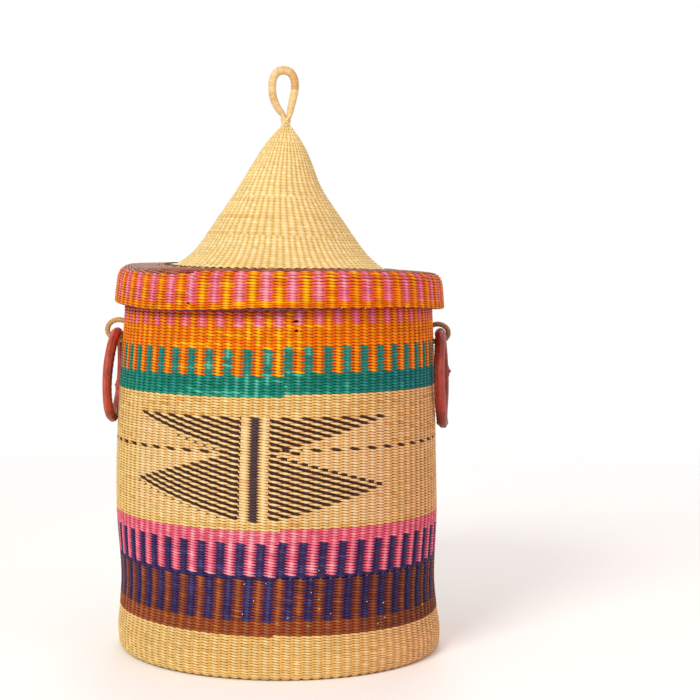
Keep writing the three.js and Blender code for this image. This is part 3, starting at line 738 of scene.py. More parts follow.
def stakes_piece(name, surface, places, heights, radius, colour):
    """Stakes through the middle of a woven wall, each a little lighter or darker."""
    strands = []
    for number, place in enumerate(places):
        s = np.full(len(heights), float(place))
        centre, outward, upward = surface(s, np.asarray(heights, float))
        points = rings_round(centre, outward, np.cross(upward, outward), circle(6, radius))
        tone = 1 + 0.15 * (hash01(number, len(name)) - 0.5)
        strands.append((points, False, colour * tone))
    return join_rings(name, strands, STAKE_GRASS, 3)


STAKE_HEIGHTS = np.concatenate([np.linspace(-2, 8, 6), np.arange(16, 458, 10.0), [459.5]])
wall_stakes = stakes_piece("wall_stakes", wall_surface, np.arange(STAKES), STAKE_HEIGHTS, 1.15, STRAW_GOLD)
hand_over(wall_stakes, "basket", "natural_grass")

BASE_RADIUS = FOOT_RADIUS - FOOT_CORNER
BASE_ZERO = -11.6  # azimuth of the first stake, in degrees, as at the wall's foot
BASE_MIDDLE = 1  # x of the base's middle


def base_surface(count):
    """The base's middle surface with its underside as the outer face; h is 0 at the foot and falls
    inward."""
    def surface(s, h):
        azimuth = np.radians(BASE_ZERO) + TAU * s / count
        radius = BASE_RADIUS + h
        z = np.full(np.shape(radius), WALL / 2 + 0.5)
        centre = stack(radius * np.sin(azimuth) + BASE_MIDDLE, -radius * np.cos(azimuth), z)
        return centre, *directions(azimuth, 0.0, -1.0)
    return surface


# Rings of the base from the foot to the middle, with about half as many stakes each time: stakes,
# outer and inner edge from the foot's corner, and rows
BASE_RINGS = [(104, 0.5, -60, 18), (52, -60, -124, 19), (26, -124, -159, 10), (14, -159, -187, 8)]
BASE_SIDES = np.radians([0, 60, 120, 180, 240, 300])
for number, (count, top, bottom, rows) in enumerate(BASE_RINGS):
    ring_dye = two_dyes(STRAW_GOLD, STRAW, 0.12, 30 + number, (STRAW, STRAW_GOLD))
    width = TAU * (BASE_RADIUS + (top + bottom) / 2) / count
    ring_piece = twine(f"base_strands_{number + 1}", base_surface(count), band_rows(bottom, top, rows),
                       count, 0.5, ring_dye, depth=1.8, seed=40 + number, sides=BASE_SIDES,
                       stake_width=width)
    hand_over(ring_piece, "basket", "natural_grass", *["base_mat"][number:])
    spokes = stakes_piece(f"base_stakes_{number + 1}", base_surface(count), np.arange(count),
                          np.linspace(bottom - 3, top, 6), 1.0, STRAW_GOLD)
    hand_over(spokes, "basket", "natural_grass")

# The knot in the middle of the base, where the first stakes cross
crossing = []
for number in range(7):
    angle = math.pi * number / 7
    reach = np.linspace(-12, 12, 9)
    path = stack(BASE_MIDDLE + reach * math.cos(angle), reach * math.sin(angle),
                 np.full(9, 2.4 + 0.35 * (number % 3)))
    rings = around_path(path, (0, 0, 1), circle(6, 1.3))
    crossing.append((rings, False, STRAW_GOLD * (0.9 + 0.04 * number)))
hand_over(join_rings("base_centre_crossing", crossing, STAKE_GRASS, 5), "basket", "natural_grass")

RIM_TOP = 465.5
LID_SEAT = 465.8
LID_SHIFT = 2.4
TILT_COS, TILT_SIN = math.cos(LID_TILT), math.sin(LID_TILT)
TILT = np.array([[TILT_COS, 0, TILT_SIN], [0, 1, 0], [-TILT_SIN, 0, TILT_COS]])


def tilted(points, height, shift=0.0):
    """Points of the level rim or lid, put at their height and out of level as the real ones are."""
    return points @ TILT.T + np.array([shift, 0, height])


def on_lid(points):
    return tilted(points, LID_SEAT, LID_SHIFT)


RIM_RADIUS, RIM_LEVEL = 185.85, -4.25  # of the rope's middle, from the rim's top
RIM_ORBIT, RIM_STRAND = 2.15, 2.0  # distance of a strand from the rope's middle, and its radius
RIM_TWISTS = 60
rim_turn = np.arange(RIM_TWISTS * 8) / (RIM_TWISTS * 8)
rim_azimuth = TAU * rim_turn
rim_strands = []
for number, dye in enumerate([STRAW, STRAW_GOLD * 1.05, STRAW * 0.92]):
    swing = TAU * (RIM_TWISTS * rim_turn + number / 3)
    radius = RIM_RADIUS + RIM_ORBIT * np.cos(swing)
    path = stack(radius * np.sin(rim_azimuth), -radius * np.cos(rim_azimuth),
                 RIM_LEVEL + RIM_ORBIT * 0.95 * np.sin(swing))
    uneven = 1 + 0.12 * np.sin(rim_azimuth * 7 + number * 2.1)
    section = circle(7, RIM_STRAND) * uneven[:, None, None]
    rim_strands.append((tilted(around_path(path, (0, 0, 1), section, closed=True), RIM_TOP), True, dye))
hand_over(join_rings("rim_rope", rim_strands, WRAPPING_GRASS, 7), "basket", "natural_grass", "rim_binding")

# The lid

LID_STAKES = 84
LID_WALL = 5.5
SKIRT_CLEARANCE = 6.9  # between the neck of the wall and the inside of the skirt
SKIRT_TOP_RADIUS = NECK_RADIUS + SKIRT_CLEARANCE + LID_WALL
SKIRT_DEPTH, SKIRT_FLARE, SHOULDER = 40.9, 3.6, 12
SKIRT_SLOPE = 0.0165  # the skirt hangs deeper on the left
SHOULDER_CENTRE = SKIRT_TOP_RADIUS - SHOULDER
BROWN_INNER, PALE_INNER, CONE_FOOT = 152, 146.5, 138.5
CONE_STRAIGHT = 13.6  # height below which the cone doesn't lean
APEX, APEX_LEAN = 178.5, 1.8
LID_ZERO = -4.5  # azimuth of the skirt's middle pink stake, in degrees


def lid_top_height(radius):
    return LID_WALL + 2.6 * (SHOULDER_CENTRE - radius) / (SHOULDER_CENTRE - 126)


def catmull(points, steps):
    """The model's own smooth curve through its outline points."""
    points = np.array(points, float)
    made = []
    for i in range(len(points) - 1):
        p0, p1 = points[max(i - 1, 0)], points[i]
        p2, p3 = points[i + 1], points[min(i + 2, len(points) - 1)]
        t = (np.arange(steps) / steps)[:, None]
        v0, v1 = (p2 - p0) / 2, (p3 - p1) / 2
        made.append((2 * p1 - 2 * p2 + v0 + v1) * t ** 3
                    + (-3 * p1 + 3 * p2 - 2 * v0 - v1) * t ** 2 + v0 * t + p1)
    made.append(points[-1:])
    return np.concatenate(made)


CONE_KEYS = [(CONE_FOOT, lid_top_height(CONE_FOOT)), (126, 9.6), (105.4, 27.2), (78.6, 65.2), (53.7, 102.2),
             (34.3, 140.2), (27.3, 153), (19.4, 164.7), (8.2, APEX)]


def lid_outline():
    """Outer outline of the lid from the skirt's lower edge to the apex, as radius and height."""
    turn = LID_WALL - SHOULDER
    z = np.append([-SKIRT_DEPTH - 2.2], np.linspace(-SKIRT_DEPTH, turn, 11))
    share = (turn - z) / (SKIRT_DEPTH + turn)
    skirt = stack(SKIRT_TOP_RADIUS + SKIRT_FLARE * share, z)
    skirt[0, 0] -= 1.0
    angle = np.linspace(0, math.pi / 2, 12)[1:]
    shoulder = stack(SHOULDER_CENTRE + SHOULDER * np.cos(angle), turn + SHOULDER * np.sin(angle))
    radius = np.linspace(SHOULDER_CENTRE, CONE_FOOT, 20)[1:-1]
    flat = stack(radius, lid_top_height(radius))
    return np.concatenate([skirt, shoulder, flat, catmull(CONE_KEYS, 12)])


OUTLINE = lid_outline()
WAY = unit(np.gradient(OUTLINE, axis=0))
OUT = stack(WAY[:, 1], -WAY[:, 0])
MIDDLE = OUTLINE - OUT * LID_WALL / 2
REACH = distances(MIDDLE)
cone_lean = smooth_through([(-SKIRT_DEPTH, 0), (CONE_STRAIGHT, 0), (102.2, -3.1), (140.2, -0.5),
                            (APEX, APEX_LEAN)])


def reach_at(radius=None, height=None):
    """Distance along the lid's wall at which its outline meets a radius or a height."""
    if height is not None:
        return float(np.interp(height, OUTLINE[:, 1], REACH))
    return float(np.interp(-radius, -OUTLINE[12:, 0], REACH[12:]))


edge_low = reach_at(height=-SKIRT_DEPTH + 0.4)
edge_top = reach_at(height=-SKIRT_DEPTH + 8.9)
shoulder_top = reach_at(height=2.1)
brown_end = reach_at(radius=BROWN_INNER)
pale_end = reach_at(radius=PALE_INNER)
black_end = reach_at(radius=CONE_FOOT)
first_added = reach_at(height=43)
join_low = reach_at(height=91)
last_added = reach_at(height=161)
apex_end = REACH[-1] + 0.3

# The lid has settled unevenly: how far its skirt's edge, its shoulder and the shoulder's radius are
# out of true, in mm, by the azimuth from the front in degrees.
EDGE_WAVE = smooth_through([(-180, 0), (-125, 0), (-92, 2.5), (-66, -1.0), (-50, -4.0), (-40, -4.2),
                            (-32, -3.6), (-23, -2.4), (-14, -0.8), (-5, 1.0), (4, 1.1), (13, 1.2),
                            (22, 2.0), (31, 2.1), (40, 2.7), (49, 1.9), (57, 0.9), (67, -1.0),
                            (90, -1.2), (130, 0), (180, 0)])
SHOULDER_WAVE = smooth_through([(-180, 0), (-130, 0.3), (-108, 0.2), (-92, -1), (-78, -2.8), (-64, -3.6),
                                (-46, -4.0), (-35, -4.0), (-19, -3.4), (1, -2.4), (16, -1.0), (34, -0.5),
                                (60, -0.8), (80, -1.8), (100, -1), (130, 0), (180, 0)])
SHOULDER_PULL = smooth_through([(-180, 0), (-130, 0.8), (-90, 3.0), (-50, 1.5), (0, 0), (50, 0.5),
                                (90, 2.0), (130, 0.5), (180, 0)])
# How much higher round the shoulder the columns end than at the side, in mm, by azimuth
COLUMN_TOPS = smooth_through([(-180, 0), (-85, 0), (-62, -1.8), (-38, -2.2), (-29, 0), (-12, 1.0),
                              (3, 1.9), (17, 3.4), (35, 2.9), (50, 2.6), (60, 0.8), (75, 0), (180, 0)])
# Height of the rope under the skirt's edge by azimuth: tallest at the front, where it also stands for the
# skirt's shadow on the wall below.
ROPE_HEIGHT = smooth_through([(-180, 1.8), (-60, 1.8), (-38, 1.8), (-22, 2.4), (-12, 4.0), (-5, 5.0),
                              (3, 4.6), (10, 2.6), (20, 1.4), (60, 1.4), (100, 1.8), (180, 1.8)])


def lid_surface(count, shift=0.0):
    """The lid's middle surface; h is the distance along its wall from the skirt's edge."""
    def surface(s, h):
        azimuth = np.radians(LID_ZERO) + TAU * (s + shift) / count
        side = from_front(np.degrees(azimuth))
        h = h + COLUMN_TOPS(side) * bell(h - shoulder_top, 13)
        r, nr = np.interp(h, REACH, MIDDLE[:, 0]), np.interp(h, REACH, OUT[:, 0])
        z, nz = np.interp(h, REACH, MIDDLE[:, 1]), np.interp(h, REACH, OUT[:, 1])
        size = np.hypot(nr, nz)
        turn = s / count
        share = np.clip((z + SKIRT_DEPTH) / (SKIRT_DEPTH + 3), 0, 1)
        wave = (EDGE_WAVE(side) * (1 - share) + SHOULDER_WAVE(side) * share) * smoothstep(r, 110, 150)
        r = r - SHOULDER_PULL(side) * smoothstep(z, -12, 4) * smoothstep(r, 150, 192)
        z = z + wave + 0.5 * wander(turn, 8) * smoothstep(z, 0, 30)
        r = r + 0.35 * wander(turn, 9) * smoothstep(z, -30, 20)
        x = r * np.sin(azimuth) + cone_lean(np.maximum(z, CONE_STRAIGHT))
        z = z + x * SKIRT_SLOPE * np.clip((LID_WALL - SHOULDER - z) / SKIRT_DEPTH, 0, 1)
        outward, upward = directions(azimuth, nr / size, nz / size)
        centre = stack(x, -r * np.cos(azimuth), z)
        return on_lid(centre), outward @ TILT.T, upward @ TILT.T
    return surface


CONE_SEAM = 30.5


def lid_band(name, start, end, rows, count, dye, slot_name, *nodes, seam=CONE_SEAM, shift=0.0, **sizes):
    middle = np.interp((start + end) / 2, REACH, MIDDLE[:, 0])
    made = twine(name, lid_surface(count, shift), band_rows(start, end, rows), count, seam, dye,
                 stake_width=TAU * middle / count, **sizes)
    hand_over(made, "lid", slot_name, *nodes)


def lid_brown_dye(row, s, weaver):
    """Dark brown, with a painted highlight on the lid's left, a pale mauve sheen where light glances off
    it.
    """
    rgb = two_dyes(LID_BROWN, LID_BROWN * 0.8, 0.2, 52, (BROWN_DARK, None))(row, s, weaver)
    side = from_front(LID_ZERO + 360 * s / (LID_STAKES // 2))
    # Painted highlight on the lid's left
    sheen = 0.7 * between(-side, 30, 70, 110, 150)[:, None]
    return rgb * (1 - sheen) + LID_BROWN_SHEEN * sheen


LID_SEAM = 78  # stake of the skirt at which its rows begin, left of the front
SKIRT_SIZES = dict(seam=LID_SEAM, swing=0.15, relief=1.15)
LID_BANDS = [
    # piece, start, end, rows, stakes, dye, slot, CAD node, sizes
    ("lid_edge_strands", edge_low, edge_top, 3, LID_STAKES,
     two_dyes(ORANGE, ORANGE, 0.12, 50, (ORANGE_YELLOW, ORANGE_YELLOW), 0.5, LID_STAKES, LID_ZERO, 3),
     "orange_grass", "lid_skirt_edge", dict(ending="rings", **SKIRT_SIZES)),
    ("lid_column_strands", edge_top, shoulder_top, 11, LID_STAKES,
     two_dyes(PINK, ORANGE, 0.12, 51, (PINK_PALE, ORANGE_YELLOW), 0.75, LID_STAKES, LID_ZERO, 4),
     "pink_orange_grass", "lid_skirt_columns", dict(bias=0.18, ending="flat", **SKIRT_SIZES)),
    ("lid_brown_strands", shoulder_top, brown_end, 15, LID_STAKES // 2, lid_brown_dye,
     "dark_brown_grass", "lid_brown_ring", dict(swing=0.42, seam=LID_SEAM / 2, steps=8, relief=0.8)),
    ("lid_pale_strands", brown_end, pale_end, 2, LID_STAKES, two_dyes(STRAW_LID, LID_BROWN, 0.15, 53),
     "natural_grass", "lid_pale_row", dict(depth=1.8)),
    ("lid_black_strands", pale_end, black_end, 2, LID_STAKES, two_dyes(LID_BLACK, LID_BLACK, 0.2, 54),
     "black_brown_grass", "lid_black_row", dict(depth=1.8)),
]
for number, (*band, sizes) in enumerate(LID_BANDS):
    lid_band(*band, seed=60 + number, **sizes)


def cone_dye(seed, count, golden_rows):
    """Straw with a few golden rows, which show most on the lid's left."""
    def dye(row, s, weaver):
        rgb = shade(CONE_STRAW, row, s, weaver, 0.06, seed, CONE_STRAW * 0.6 + CONE_PALE * 0.4, 0.25)
        side = from_front(LID_ZERO + 360 * s / count)
        gold = (np.isin(row, golden_rows) * (0.5 + 0.5 * hash01(np.floor(s / 2), row))
                * (0.2 + 0.7 * between(-side, -20, 25, 90, 130)))
        return rgb * (1 - gold[:, None] * (1 - np.array([0.92, 0.78, 0.62])))
    return dye


CONE_ROW = 4.1  # height of a row
CONE_SIZES = dict(depth=1.2, thick=1.0, swing=0.07, high=0.68, low=0.48, relief=1.3, edges=0.5, crest=0.4)
# The cone's zones, each with fewer stakes than the one below it: stakes, lower and upper end, how
# far it overlaps the zone below, the seam, the stakes' shift, golden rows and CAD node
CONE_ZONES = [
    (LID_STAKES, black_end, first_added, 0, CONE_SEAM, 0, (), ["lid_cone_lower"]),
    (56, first_added, join_low, 0.8, 20.5, 0.25, (1, 7, 13), []),
    (42, join_low, last_added, 0.8, 15.5, 0.1, (), ["lid_cone_upper"]),
    (22, last_added, apex_end, 1.4, 8.0, 0.3, (), []),
]
for number, (count, low, high, overlap, seam, shift, golden_rows, nodes) in enumerate(CONE_ZONES):
    seed = 70 + number
    lid_band(f"cone_strands_{number + 1}", low - overlap, high, round((high - low) / CONE_ROW), count,
             cone_dye(seed, count, golden_rows), "natural_grass", *nodes, seed=seed, seam=seam,
             shift=shift, **CONE_SIZES)
for number, (count, low, high, _, _, shift, _, _) in enumerate(CONE_ZONES):
    # The lowest zone's stakes run on through the flat ring and the skirt.
    low, dye = (low - 4, CONE_STRAW) if number else (edge_low + 3, STRAW_GOLD)
    stakes = stakes_piece(f"lid_stakes_{number + 1}", lid_surface(count, shift), np.arange(count),
                          np.arange(low, high + 0.1, 7.0), 1.15, dye)
    hand_over(stakes, "lid", "natural_grass")


def edge_rope():
    """Two dark strands twisted together under the skirt's edge; their maroon is partly painted shade from
    the skirt above.
    """
    place = np.arange(LID_STAKES * 8) / 8
    centre, outward, upward = lid_surface(LID_STAKES)(place, np.full(len(place), edge_low))
    half = ROPE_HEIGHT(from_front(LID_ZERO + 360 * place / LID_STAKES)) / 2
    section = circle(7) * stack(np.full(len(place), 0.85), 0.62 * half)[:, None, :]
    for number, dye in enumerate((MAROON, MAROON * 0.55)):
        swing = TAU * (place + number / 2)
        path = (centre + outward * (-0.2 + 0.8 * np.cos(swing))[:, None]
                + upward * (0.5 - half + 0.42 * half * np.sin(swing))[:, None])
        yield around_path(path, (0, 0, 1), section, closed=True), True, dye


hand_over(join_rings("lid_edge_rope", list(edge_rope()), WRAPPING_GRASS, 9), "lid", "dark_brown_grass",
          "lid_rim_binding")

# The loop on the lid


def centripetal(points):
    """A centripetal curve through points, as in the model's loop, with 14 points for each span."""
    def blend(a, b, first, last, t):
        return (last - t) / (last - first) * a + (t - first) / (last - first) * b

    p = np.array(points, float)
    p = np.concatenate([[2 * p[0] - p[1]], p, [2 * p[-1] - p[-2]]])
    made = []
    for i in range(1, len(p) - 2):
        a, b, c, d = p[i - 1:i + 3]
        t1 = np.linalg.norm(b - a) ** 0.5
        t2 = t1 + np.linalg.norm(c - b) ** 0.5
        t3 = t2 + np.linalg.norm(d - c) ** 0.5
        t = np.linspace(t1, t2, 14, endpoint=False)[:, None]
        a1, a2, a3 = blend(a, b, 0, t1, t), blend(b, c, t1, t2, t), blend(c, d, t2, t3, t)
        b1, b2 = blend(a1, a2, 0, t2, t), blend(a2, a3, t1, t3, t)
        made.append(blend(b1, b2, t1, t2, t))
    made.append(p[-2:-1])
    return np.concatenate(made)


def points_at(path, at):
    """The points at some distances along a path."""
    length = distances(path)
    return stack(*(np.interp(at, length, path[:, axis]) for axis in range(3)))


def even_path(path, spacing):
    """The same path with its points a fixed distance apart."""
    length = distances(path)[-1]
    return points_at(path, np.linspace(0, length, round(length / spacing) + 1))


def wound(path, hint, radius, pitch, thick, seed):
    """A strand wound closely round a path; gives rings of points, ten for each turn, and the place
    of each along it. radius is a curve over the path's share from 0 to 1."""
    length = distances(path)[-1]
    turns = round(length / pitch)
    at = np.linspace(0, length, turns * 10 + 1)
    fine = points_at(path, at)
    forward, across, up = frames(fine, hint)
    angle = TAU * turns * at / length
    size = radius(at / length) - thick + 0.08 * np.sin(angle * 0.37 + seed)
    spoke = across * np.cos(angle)[:, None] + up * np.sin(angle)[:, None]
    section = circle(6) * np.array([thick, pitch * 0.56])
    return rings_round(fine + spoke * np.reshape(size, (-1, 1)), spoke, forward, section), at / length


LEG = 2.3  # distance of the loop's legs from its middle, where they stand in the cone
NECK = APEX + 15.5
LOOP = 54.5
TOP = NECK + LOOP
HALF = 28.1 / 2
SWAY = -2.4
LEFT_LEG, RIGHT_LEG = APEX_LEAN - LEG, APEX_LEAN + LEG
# The bow's points as shares of its half-width and its height above the neck, but for its top
LEFT_BOW = [(0.42, 0.13), (0.86, 0.355), (1, 0.6), (0.93, 0.81)]
RIGHT_BOW = [(0.88, 0.83), (1, 0.62), (0.86, 0.36), (0.68, 0.14)]
LOOP_POINTS = ([(LEFT_LEG, APEX - 6), (LEFT_LEG, APEX), (LEFT_LEG, NECK - 6), (LEFT_LEG - 2, NECK)]
               + [(SWAY - HALF * across, NECK + LOOP * up) for across, up in LEFT_BOW]
               + [(SWAY - HALF * 0.56, TOP - 2), (SWAY, TOP), (SWAY + HALF * 0.5, TOP - 2)]
               + [(SWAY + HALF * across, NECK + LOOP * up) for across, up in RIGHT_BOW]
               + [(RIGHT_LEG + 1.8, NECK), (RIGHT_LEG, NECK - 6), (RIGHT_LEG, APEX), (RIGHT_LEG, APEX - 6)])
loop_path = even_path(centripetal([(x, 0, z) for x, z in LOOP_POINTS]), 1.0)
core_rings = [around_path(loop_path + np.array([0, y, 0]), (0, 1, 0), circle(6, 1.2)) for y in (-0.9, 0.9)]
loop_core = join_rings("loop_core_strands", [(on_lid(ring), False, STRAW) for ring in core_rings],
                       STAKE_GRASS, 11)
hand_over(loop_core, "lid", "natural_grass", "finial_loop_core")

wrapped = loop_path[loop_path[:, 2] > APEX + 3]
# Radius of the wrapped loop along it, from 0 to 1
loop_size = smooth_through([(0, 2.9), (0.06, 3.3), (0.12, 4.5), (0.2, 4.9), (0.38, 5.1), (0.5, 5.7),
                            (0.62, 5.2), (0.8, 4.9), (0.88, 4.5), (0.94, 3.3), (1, 2.9)])
loop_points, loop_place = wound(wrapped, (0, 1, 0), loop_size, 1.7, thick=0.55, seed=2)
# How tan the wrapping is along the loop: several strands of different grass follow each other.
tan_share = np.interp(loop_place, [0, 0.19, 0.195, 0.275, 0.28, 0.44, 0.445, 0.565, 0.57, 0.71, 0.715, 1],
                      [0.3, 0.25, 0.5, 0.6, 0.05, 0.15, 0.3, 0.2, 0.6, 0.95, 0.0, 0.2])[:, None]
ring_number = np.arange(len(tan_share))[:, None]
wobble = 1 + 0.05 * np.sin(ring_number * 0.63) + 0.04 * np.sin(ring_number * 0.117)
loop_colours = (LOOP_PALE * (1 - tan_share) + LOOP_TAN * tan_share) * wobble
loop_wrap = join_rings("loop_wrapping", [(on_lid(loop_points), False, loop_colours)], WRAPPING_GRASS, 13)
hand_over(loop_wrap, "lid", "wrapping_grass", "finial_loop_wrap")


def neck_binding():
    """A strand wound round both legs above the cone's tip, and two that cross in front."""
    turns = 8
    share = np.linspace(0, 1, turns * 16 + 1)
    angle = TAU * turns * share
    z = APEX - 1.5 + 11.5 * share + 0.25 * np.sin(angle * 0.5 + 1)
    wide = 5.7 - 0.8 * np.sin(math.pi * share) + 0.5 * share + 0.15 * np.sin(angle * 1.31)
    deep = 4.6 + 0.15 * np.sin(angle * 0.73)
    lean = APEX_LEAN - 0.4 * share
    path = stack(lean + wide * np.sin(angle), -deep * np.cos(angle), z)
    rings = [around_path(path, (0, 0, 1), circle(6, 1.25) * np.array([0.5, 0.8]))]
    for way in (-1, 1):
        t = np.linspace(0, 1, 30)
        x = APEX_LEAN + way * (5.0 - 10.5 * t)
        y = -5.2 * np.sin(math.pi * (0.15 + 0.7 * t)) - 0.5
        height = APEX + 1 + 14 * t
        cross = stack(x, y, height)
        rings.append(around_path(cross, (0, 1, 0), circle(6, 1.5)))
    return rings


neck_strands = [(on_lid(ring), False, LOOP_PALE * tone)
                for ring, tone in zip(neck_binding(), (0.97, 1.03, 0.9))]
hand_over(join_rings("loop_neck_binding", neck_strands, WRAPPING_GRASS, 15), "lid", "wrapping_grass",
          "finial_neck_collar")

# Eyelets and ring handles

HANDLES = {
    # side, eyelet centre x and z, half-width, half-height, wall x, pivot x and z, ring radius,
    # bottom x, tube radius of the near and far halves, how far each half bows outward, lap angle
    # and its point's height, dyes of the leather, painted lighter on the lit left ring and darker on
    # the shaded right one, and of the eyelet, phases of the leather's folds and of the eyelet's tones
    "left": dict(side=-1, ex=199.23, ez=393.2, ew=14.08, eh=12.35, wall=193.1, px=201.16, pz=390.7,
                 ring=53.5, bx=207.06, tube=5.7, far=4.5, bow=4.8, far_bow=-2.2, lap=109, pinch=1.2,
                 dye=LEATHER_LIT, eyelet_dye=EYELET_TAN, folds=1.0, tones=0),
    "right": dict(side=1, ex=198.57, ez=388.9, ew=13.53, eh=11.05, wall=193.0, px=202.05, pz=388.9,
                  ring=56.0, bx=205.45, tube=6.5, far=6.3, bow=-7.6, far_bow=8.2, lap=86, pinch=2.4,
                  dye=LEATHER_SHADED, eyelet_dye=EYELET_BROWN, folds=2.4, tones=2),
}


def leather_material():
    """Goatskin, dyed red and rubbed with use: fine grain, and soft creases along the tube with painted
    shade in them.
    """
    mat = new_material("red_goatskin")
    dye, place = mesh_inputs(mat)
    # Grain cells about 0.7 mm across.
    grain = node(mat, "ShaderNodeTexVoronoi", {"Vector": place, "Scale": 1.5}, feature="F1")
    # Creases 1.5 mm wide and 15 mm long, painted darker in their grooves as shade.
    crease = stretched_noise(mat, place, 0.07, 0.6, 4.0, 0.6)
    # Rubbed patches 8 mm across and 20 mm long.
    rub = stretched_noise(mat, place, 0.05, 0.12, 3.0)
    dark = ramp(mat, crease, [(0.35, 0.55), (0.6, 1.0)])
    brightness = ramp(mat, rub, [(0.35, 0.8), (0.7, 1.15)])
    fine = node(mat, "ShaderNodeBump", {"Height": grain.outputs["Distance"], "Strength": 0.35,
                                        "Distance": 0.0002})
    bump = node(mat, "ShaderNodeBump", {"Height": crease, "Strength": 0.9, "Distance": 0.0011,
                                        "Normal": fine.outputs["Normal"]})
    gloss = ramp(mat, rub, [(0.3, 0.5), (0.7, 0.34)])
    return surface_output(mat, times(mat, times(mat, dye, dark), brightness), gloss, bump, 0.35)


LEATHER = leather_material()


def eyelet_path(h, angle):
    across = h["side"] * (h["ex"] + h["ew"] * np.cos(angle))
    return stack(across, 0 * angle, h["ez"] + h["eh"] * np.sin(angle))


def ring_path(h, angle):
    fall = (1 - np.cos(angle)) / 2
    depth = np.sin(angle)
    bow = np.where(depth > 0, h["bow"], h["far_bow"])
    outward = h["px"] + (h["bx"] - h["px"]) * fall + bow * np.abs(depth) ** 1.5
    return stack(h["side"] * outward, -h["ring"] * depth, h["pz"] - 2 * h["ring"] * fall)


def away_from(b, centre):
    """Angles round the tube counted from another angle, from -pi to pi."""
    return (b - centre + math.pi) % TAU - math.pi


def leather_tube(h, angle, radius, b, closed):
    section = stack(radius * np.cos(b), radius * np.sin(b))
    return around_path(ring_path(h, angle), (1, 0, 0), section, closed)


def leather_ring(h):
    """A ring of leather pulled round its core: soft folds run along it, and it is a little uneven."""
    seed = h["folds"]
    angle = np.arange(220) / 220 * TAU
    a, b = np.meshgrid(angle, np.arange(28) / 28 * TAU, indexing="ij")
    size = h["tube"] + (h["far"] - h["tube"]) * smoothstep(-np.sin(a), 0, 0.8)
    size = size * (1 + 0.035 * np.sin(2 * a + seed) + 0.02 * np.sin(5 * a + 2 * seed))
    # Folds: two flat-sided ridges that drift round the tube.
    fold = 0.34 * np.cos(3 * b + 1.3 * np.sin(a + seed)) + 0.3 * np.cos(7 * b - 0.9 * np.sin(2 * a) + seed)
    # The seam: a groove with a raised lip on each side, facing the wall.
    seam = away_from(b, math.pi / 2 * (2 + h["side"]))
    groove = -1.1 * bell(seam, 0.09) + 0.5 * bell(np.abs(seam) - 0.22, 0.1)
    puckers = 0.18 * np.cos(a * 44) * bell(seam, 0.5)
    radius = size + fold + groove + puckers
    # The leather is pressed flat where the ring hangs in its eyelet.
    pressed = bell(np.sin(a), 0.2, 4) * (np.cos(a) > 0)
    radius = radius - pressed * np.maximum(radius - h["tube"] + 0.35, 0)
    # Painted shade on the far half, with a little uneven tone along the ring
    brightness = 1 + 0.1 * np.sin(3 * angle + seed) - 0.2 * smoothstep(-np.sin(angle), 0, 0.6)
    # Darker towards the bottom
    colour = h["dye"] * (brightness - 0.3 * smoothstep(-np.cos(angle), 0.4, 1.0))[:, None]
    return leather_tube(h, angle, radius, b, True), True, colour


def lap_ring(h):
    """The leather's two ends lap over each other and are pinched to a point on the outer side."""
    t = np.linspace(-1, 1, 26)
    angle = math.radians(360 - h["lap"]) + t * 7.5 / h["ring"]
    a, b = np.meshgrid(t, np.arange(24) / 24 * TAU, indexing="ij")
    out = away_from(b, math.pi / 2 * (2 - h["side"]))
    pinch = h["pinch"] * bell(out, 0.42) * bell(a, 0.38)
    swell = 0.85 * np.cos(a * math.pi / 2) ** 0.5 + 0.25 * np.cos(a * 9)
    radius = h["far"] + 0.25 + swell + pinch - 0.9 * (np.abs(a) > 0.97)
    # The lap sits on the far half and is painted darker, as the shade there
    return leather_tube(h, angle, radius, b, False), False, h["dye"] * 0.72


EYELET_WRAP_RADIUS = 3.3
for handle_name, h in HANDLES.items():
    angle = np.arange(80) / 80 * TAU
    bundle = []
    for number in range(3):
        swing = angle * 9 + TAU * number / 3
        section = circle(6) + stack(np.cos(swing), np.sin(swing))[:, None, :] * 1.1
        rings = around_path(eyelet_path(h, angle), (0, 1, 0), section, closed=True)
        bundle.append((rings, True, EYELET_TAN * (0.9 + 0.1 * number)))
    eyelet = f"eyelet_{handle_name}"
    hand_over(join_rings(f"{eyelet}_bundle", bundle, STAKE_GRASS, 17), "basket", "natural_grass",
              f"{eyelet}_core")
    # The wrapping covers the eyelet outside the wall only.
    end = math.acos((h["wall"] - 1.0 - h["ex"]) / h["ew"])
    outer = even_path(eyelet_path(h, np.linspace(-end, end, 120)), 0.8)
    wrap_points, place = wound(outer, (0, 1, 0), lambda share: EYELET_WRAP_RADIUS, 1.9, 0.5, 4)
    tone = 0.5 + 0.5 * np.sin(place * 9 + h["tones"])
    colour = h["eyelet_dye"] * (0.88 + 0.2 * tone)[:, None]
    hand_over(join_rings(f"{eyelet}_wrapping", [(wrap_points, False, colour)], WRAPPING_GRASS, 19),
              "basket", "wrapping_grass", f"{eyelet}_wrap")
    body = f"handle_{handle_name}"
    hand_over(join_rings(f"{body}_cover", [leather_ring(h)], LEATHER, 21), body, "red_leather",
              f"{body}_leather", f"{body}_core")
    hand_over(join_rings(f"{body}_pinched_lap", [lap_ring(h)], LEATHER, 23), body, "red_leather",
              f"{body}_lap")

# Cut ends


def cut_ends(name, surface, places, out):
    """Pale cut ends of strands that stand out of the weave; places holds stake and height."""
    strands = []
    for number, (stake, height) in enumerate(places):
        centre, outward, upward = surface(np.array([float(stake)]), np.array([float(height)]))
        side = np.cross(upward, outward)
        lean = hash01(number, 5) - 0.5
        way = outward * 0.7 + upward * (0.5 + 0.4 * lean) + side * lean
        path = centre + outward * out + way * np.linspace(-1.0, 1.1, 4)[:, None]
        strands.append((around_path(path, side[0], circle(5, 0.55)), False, STRAW_PALE * 1.05))
    return join_rings(name, strands, STAKE_GRASS, 25)


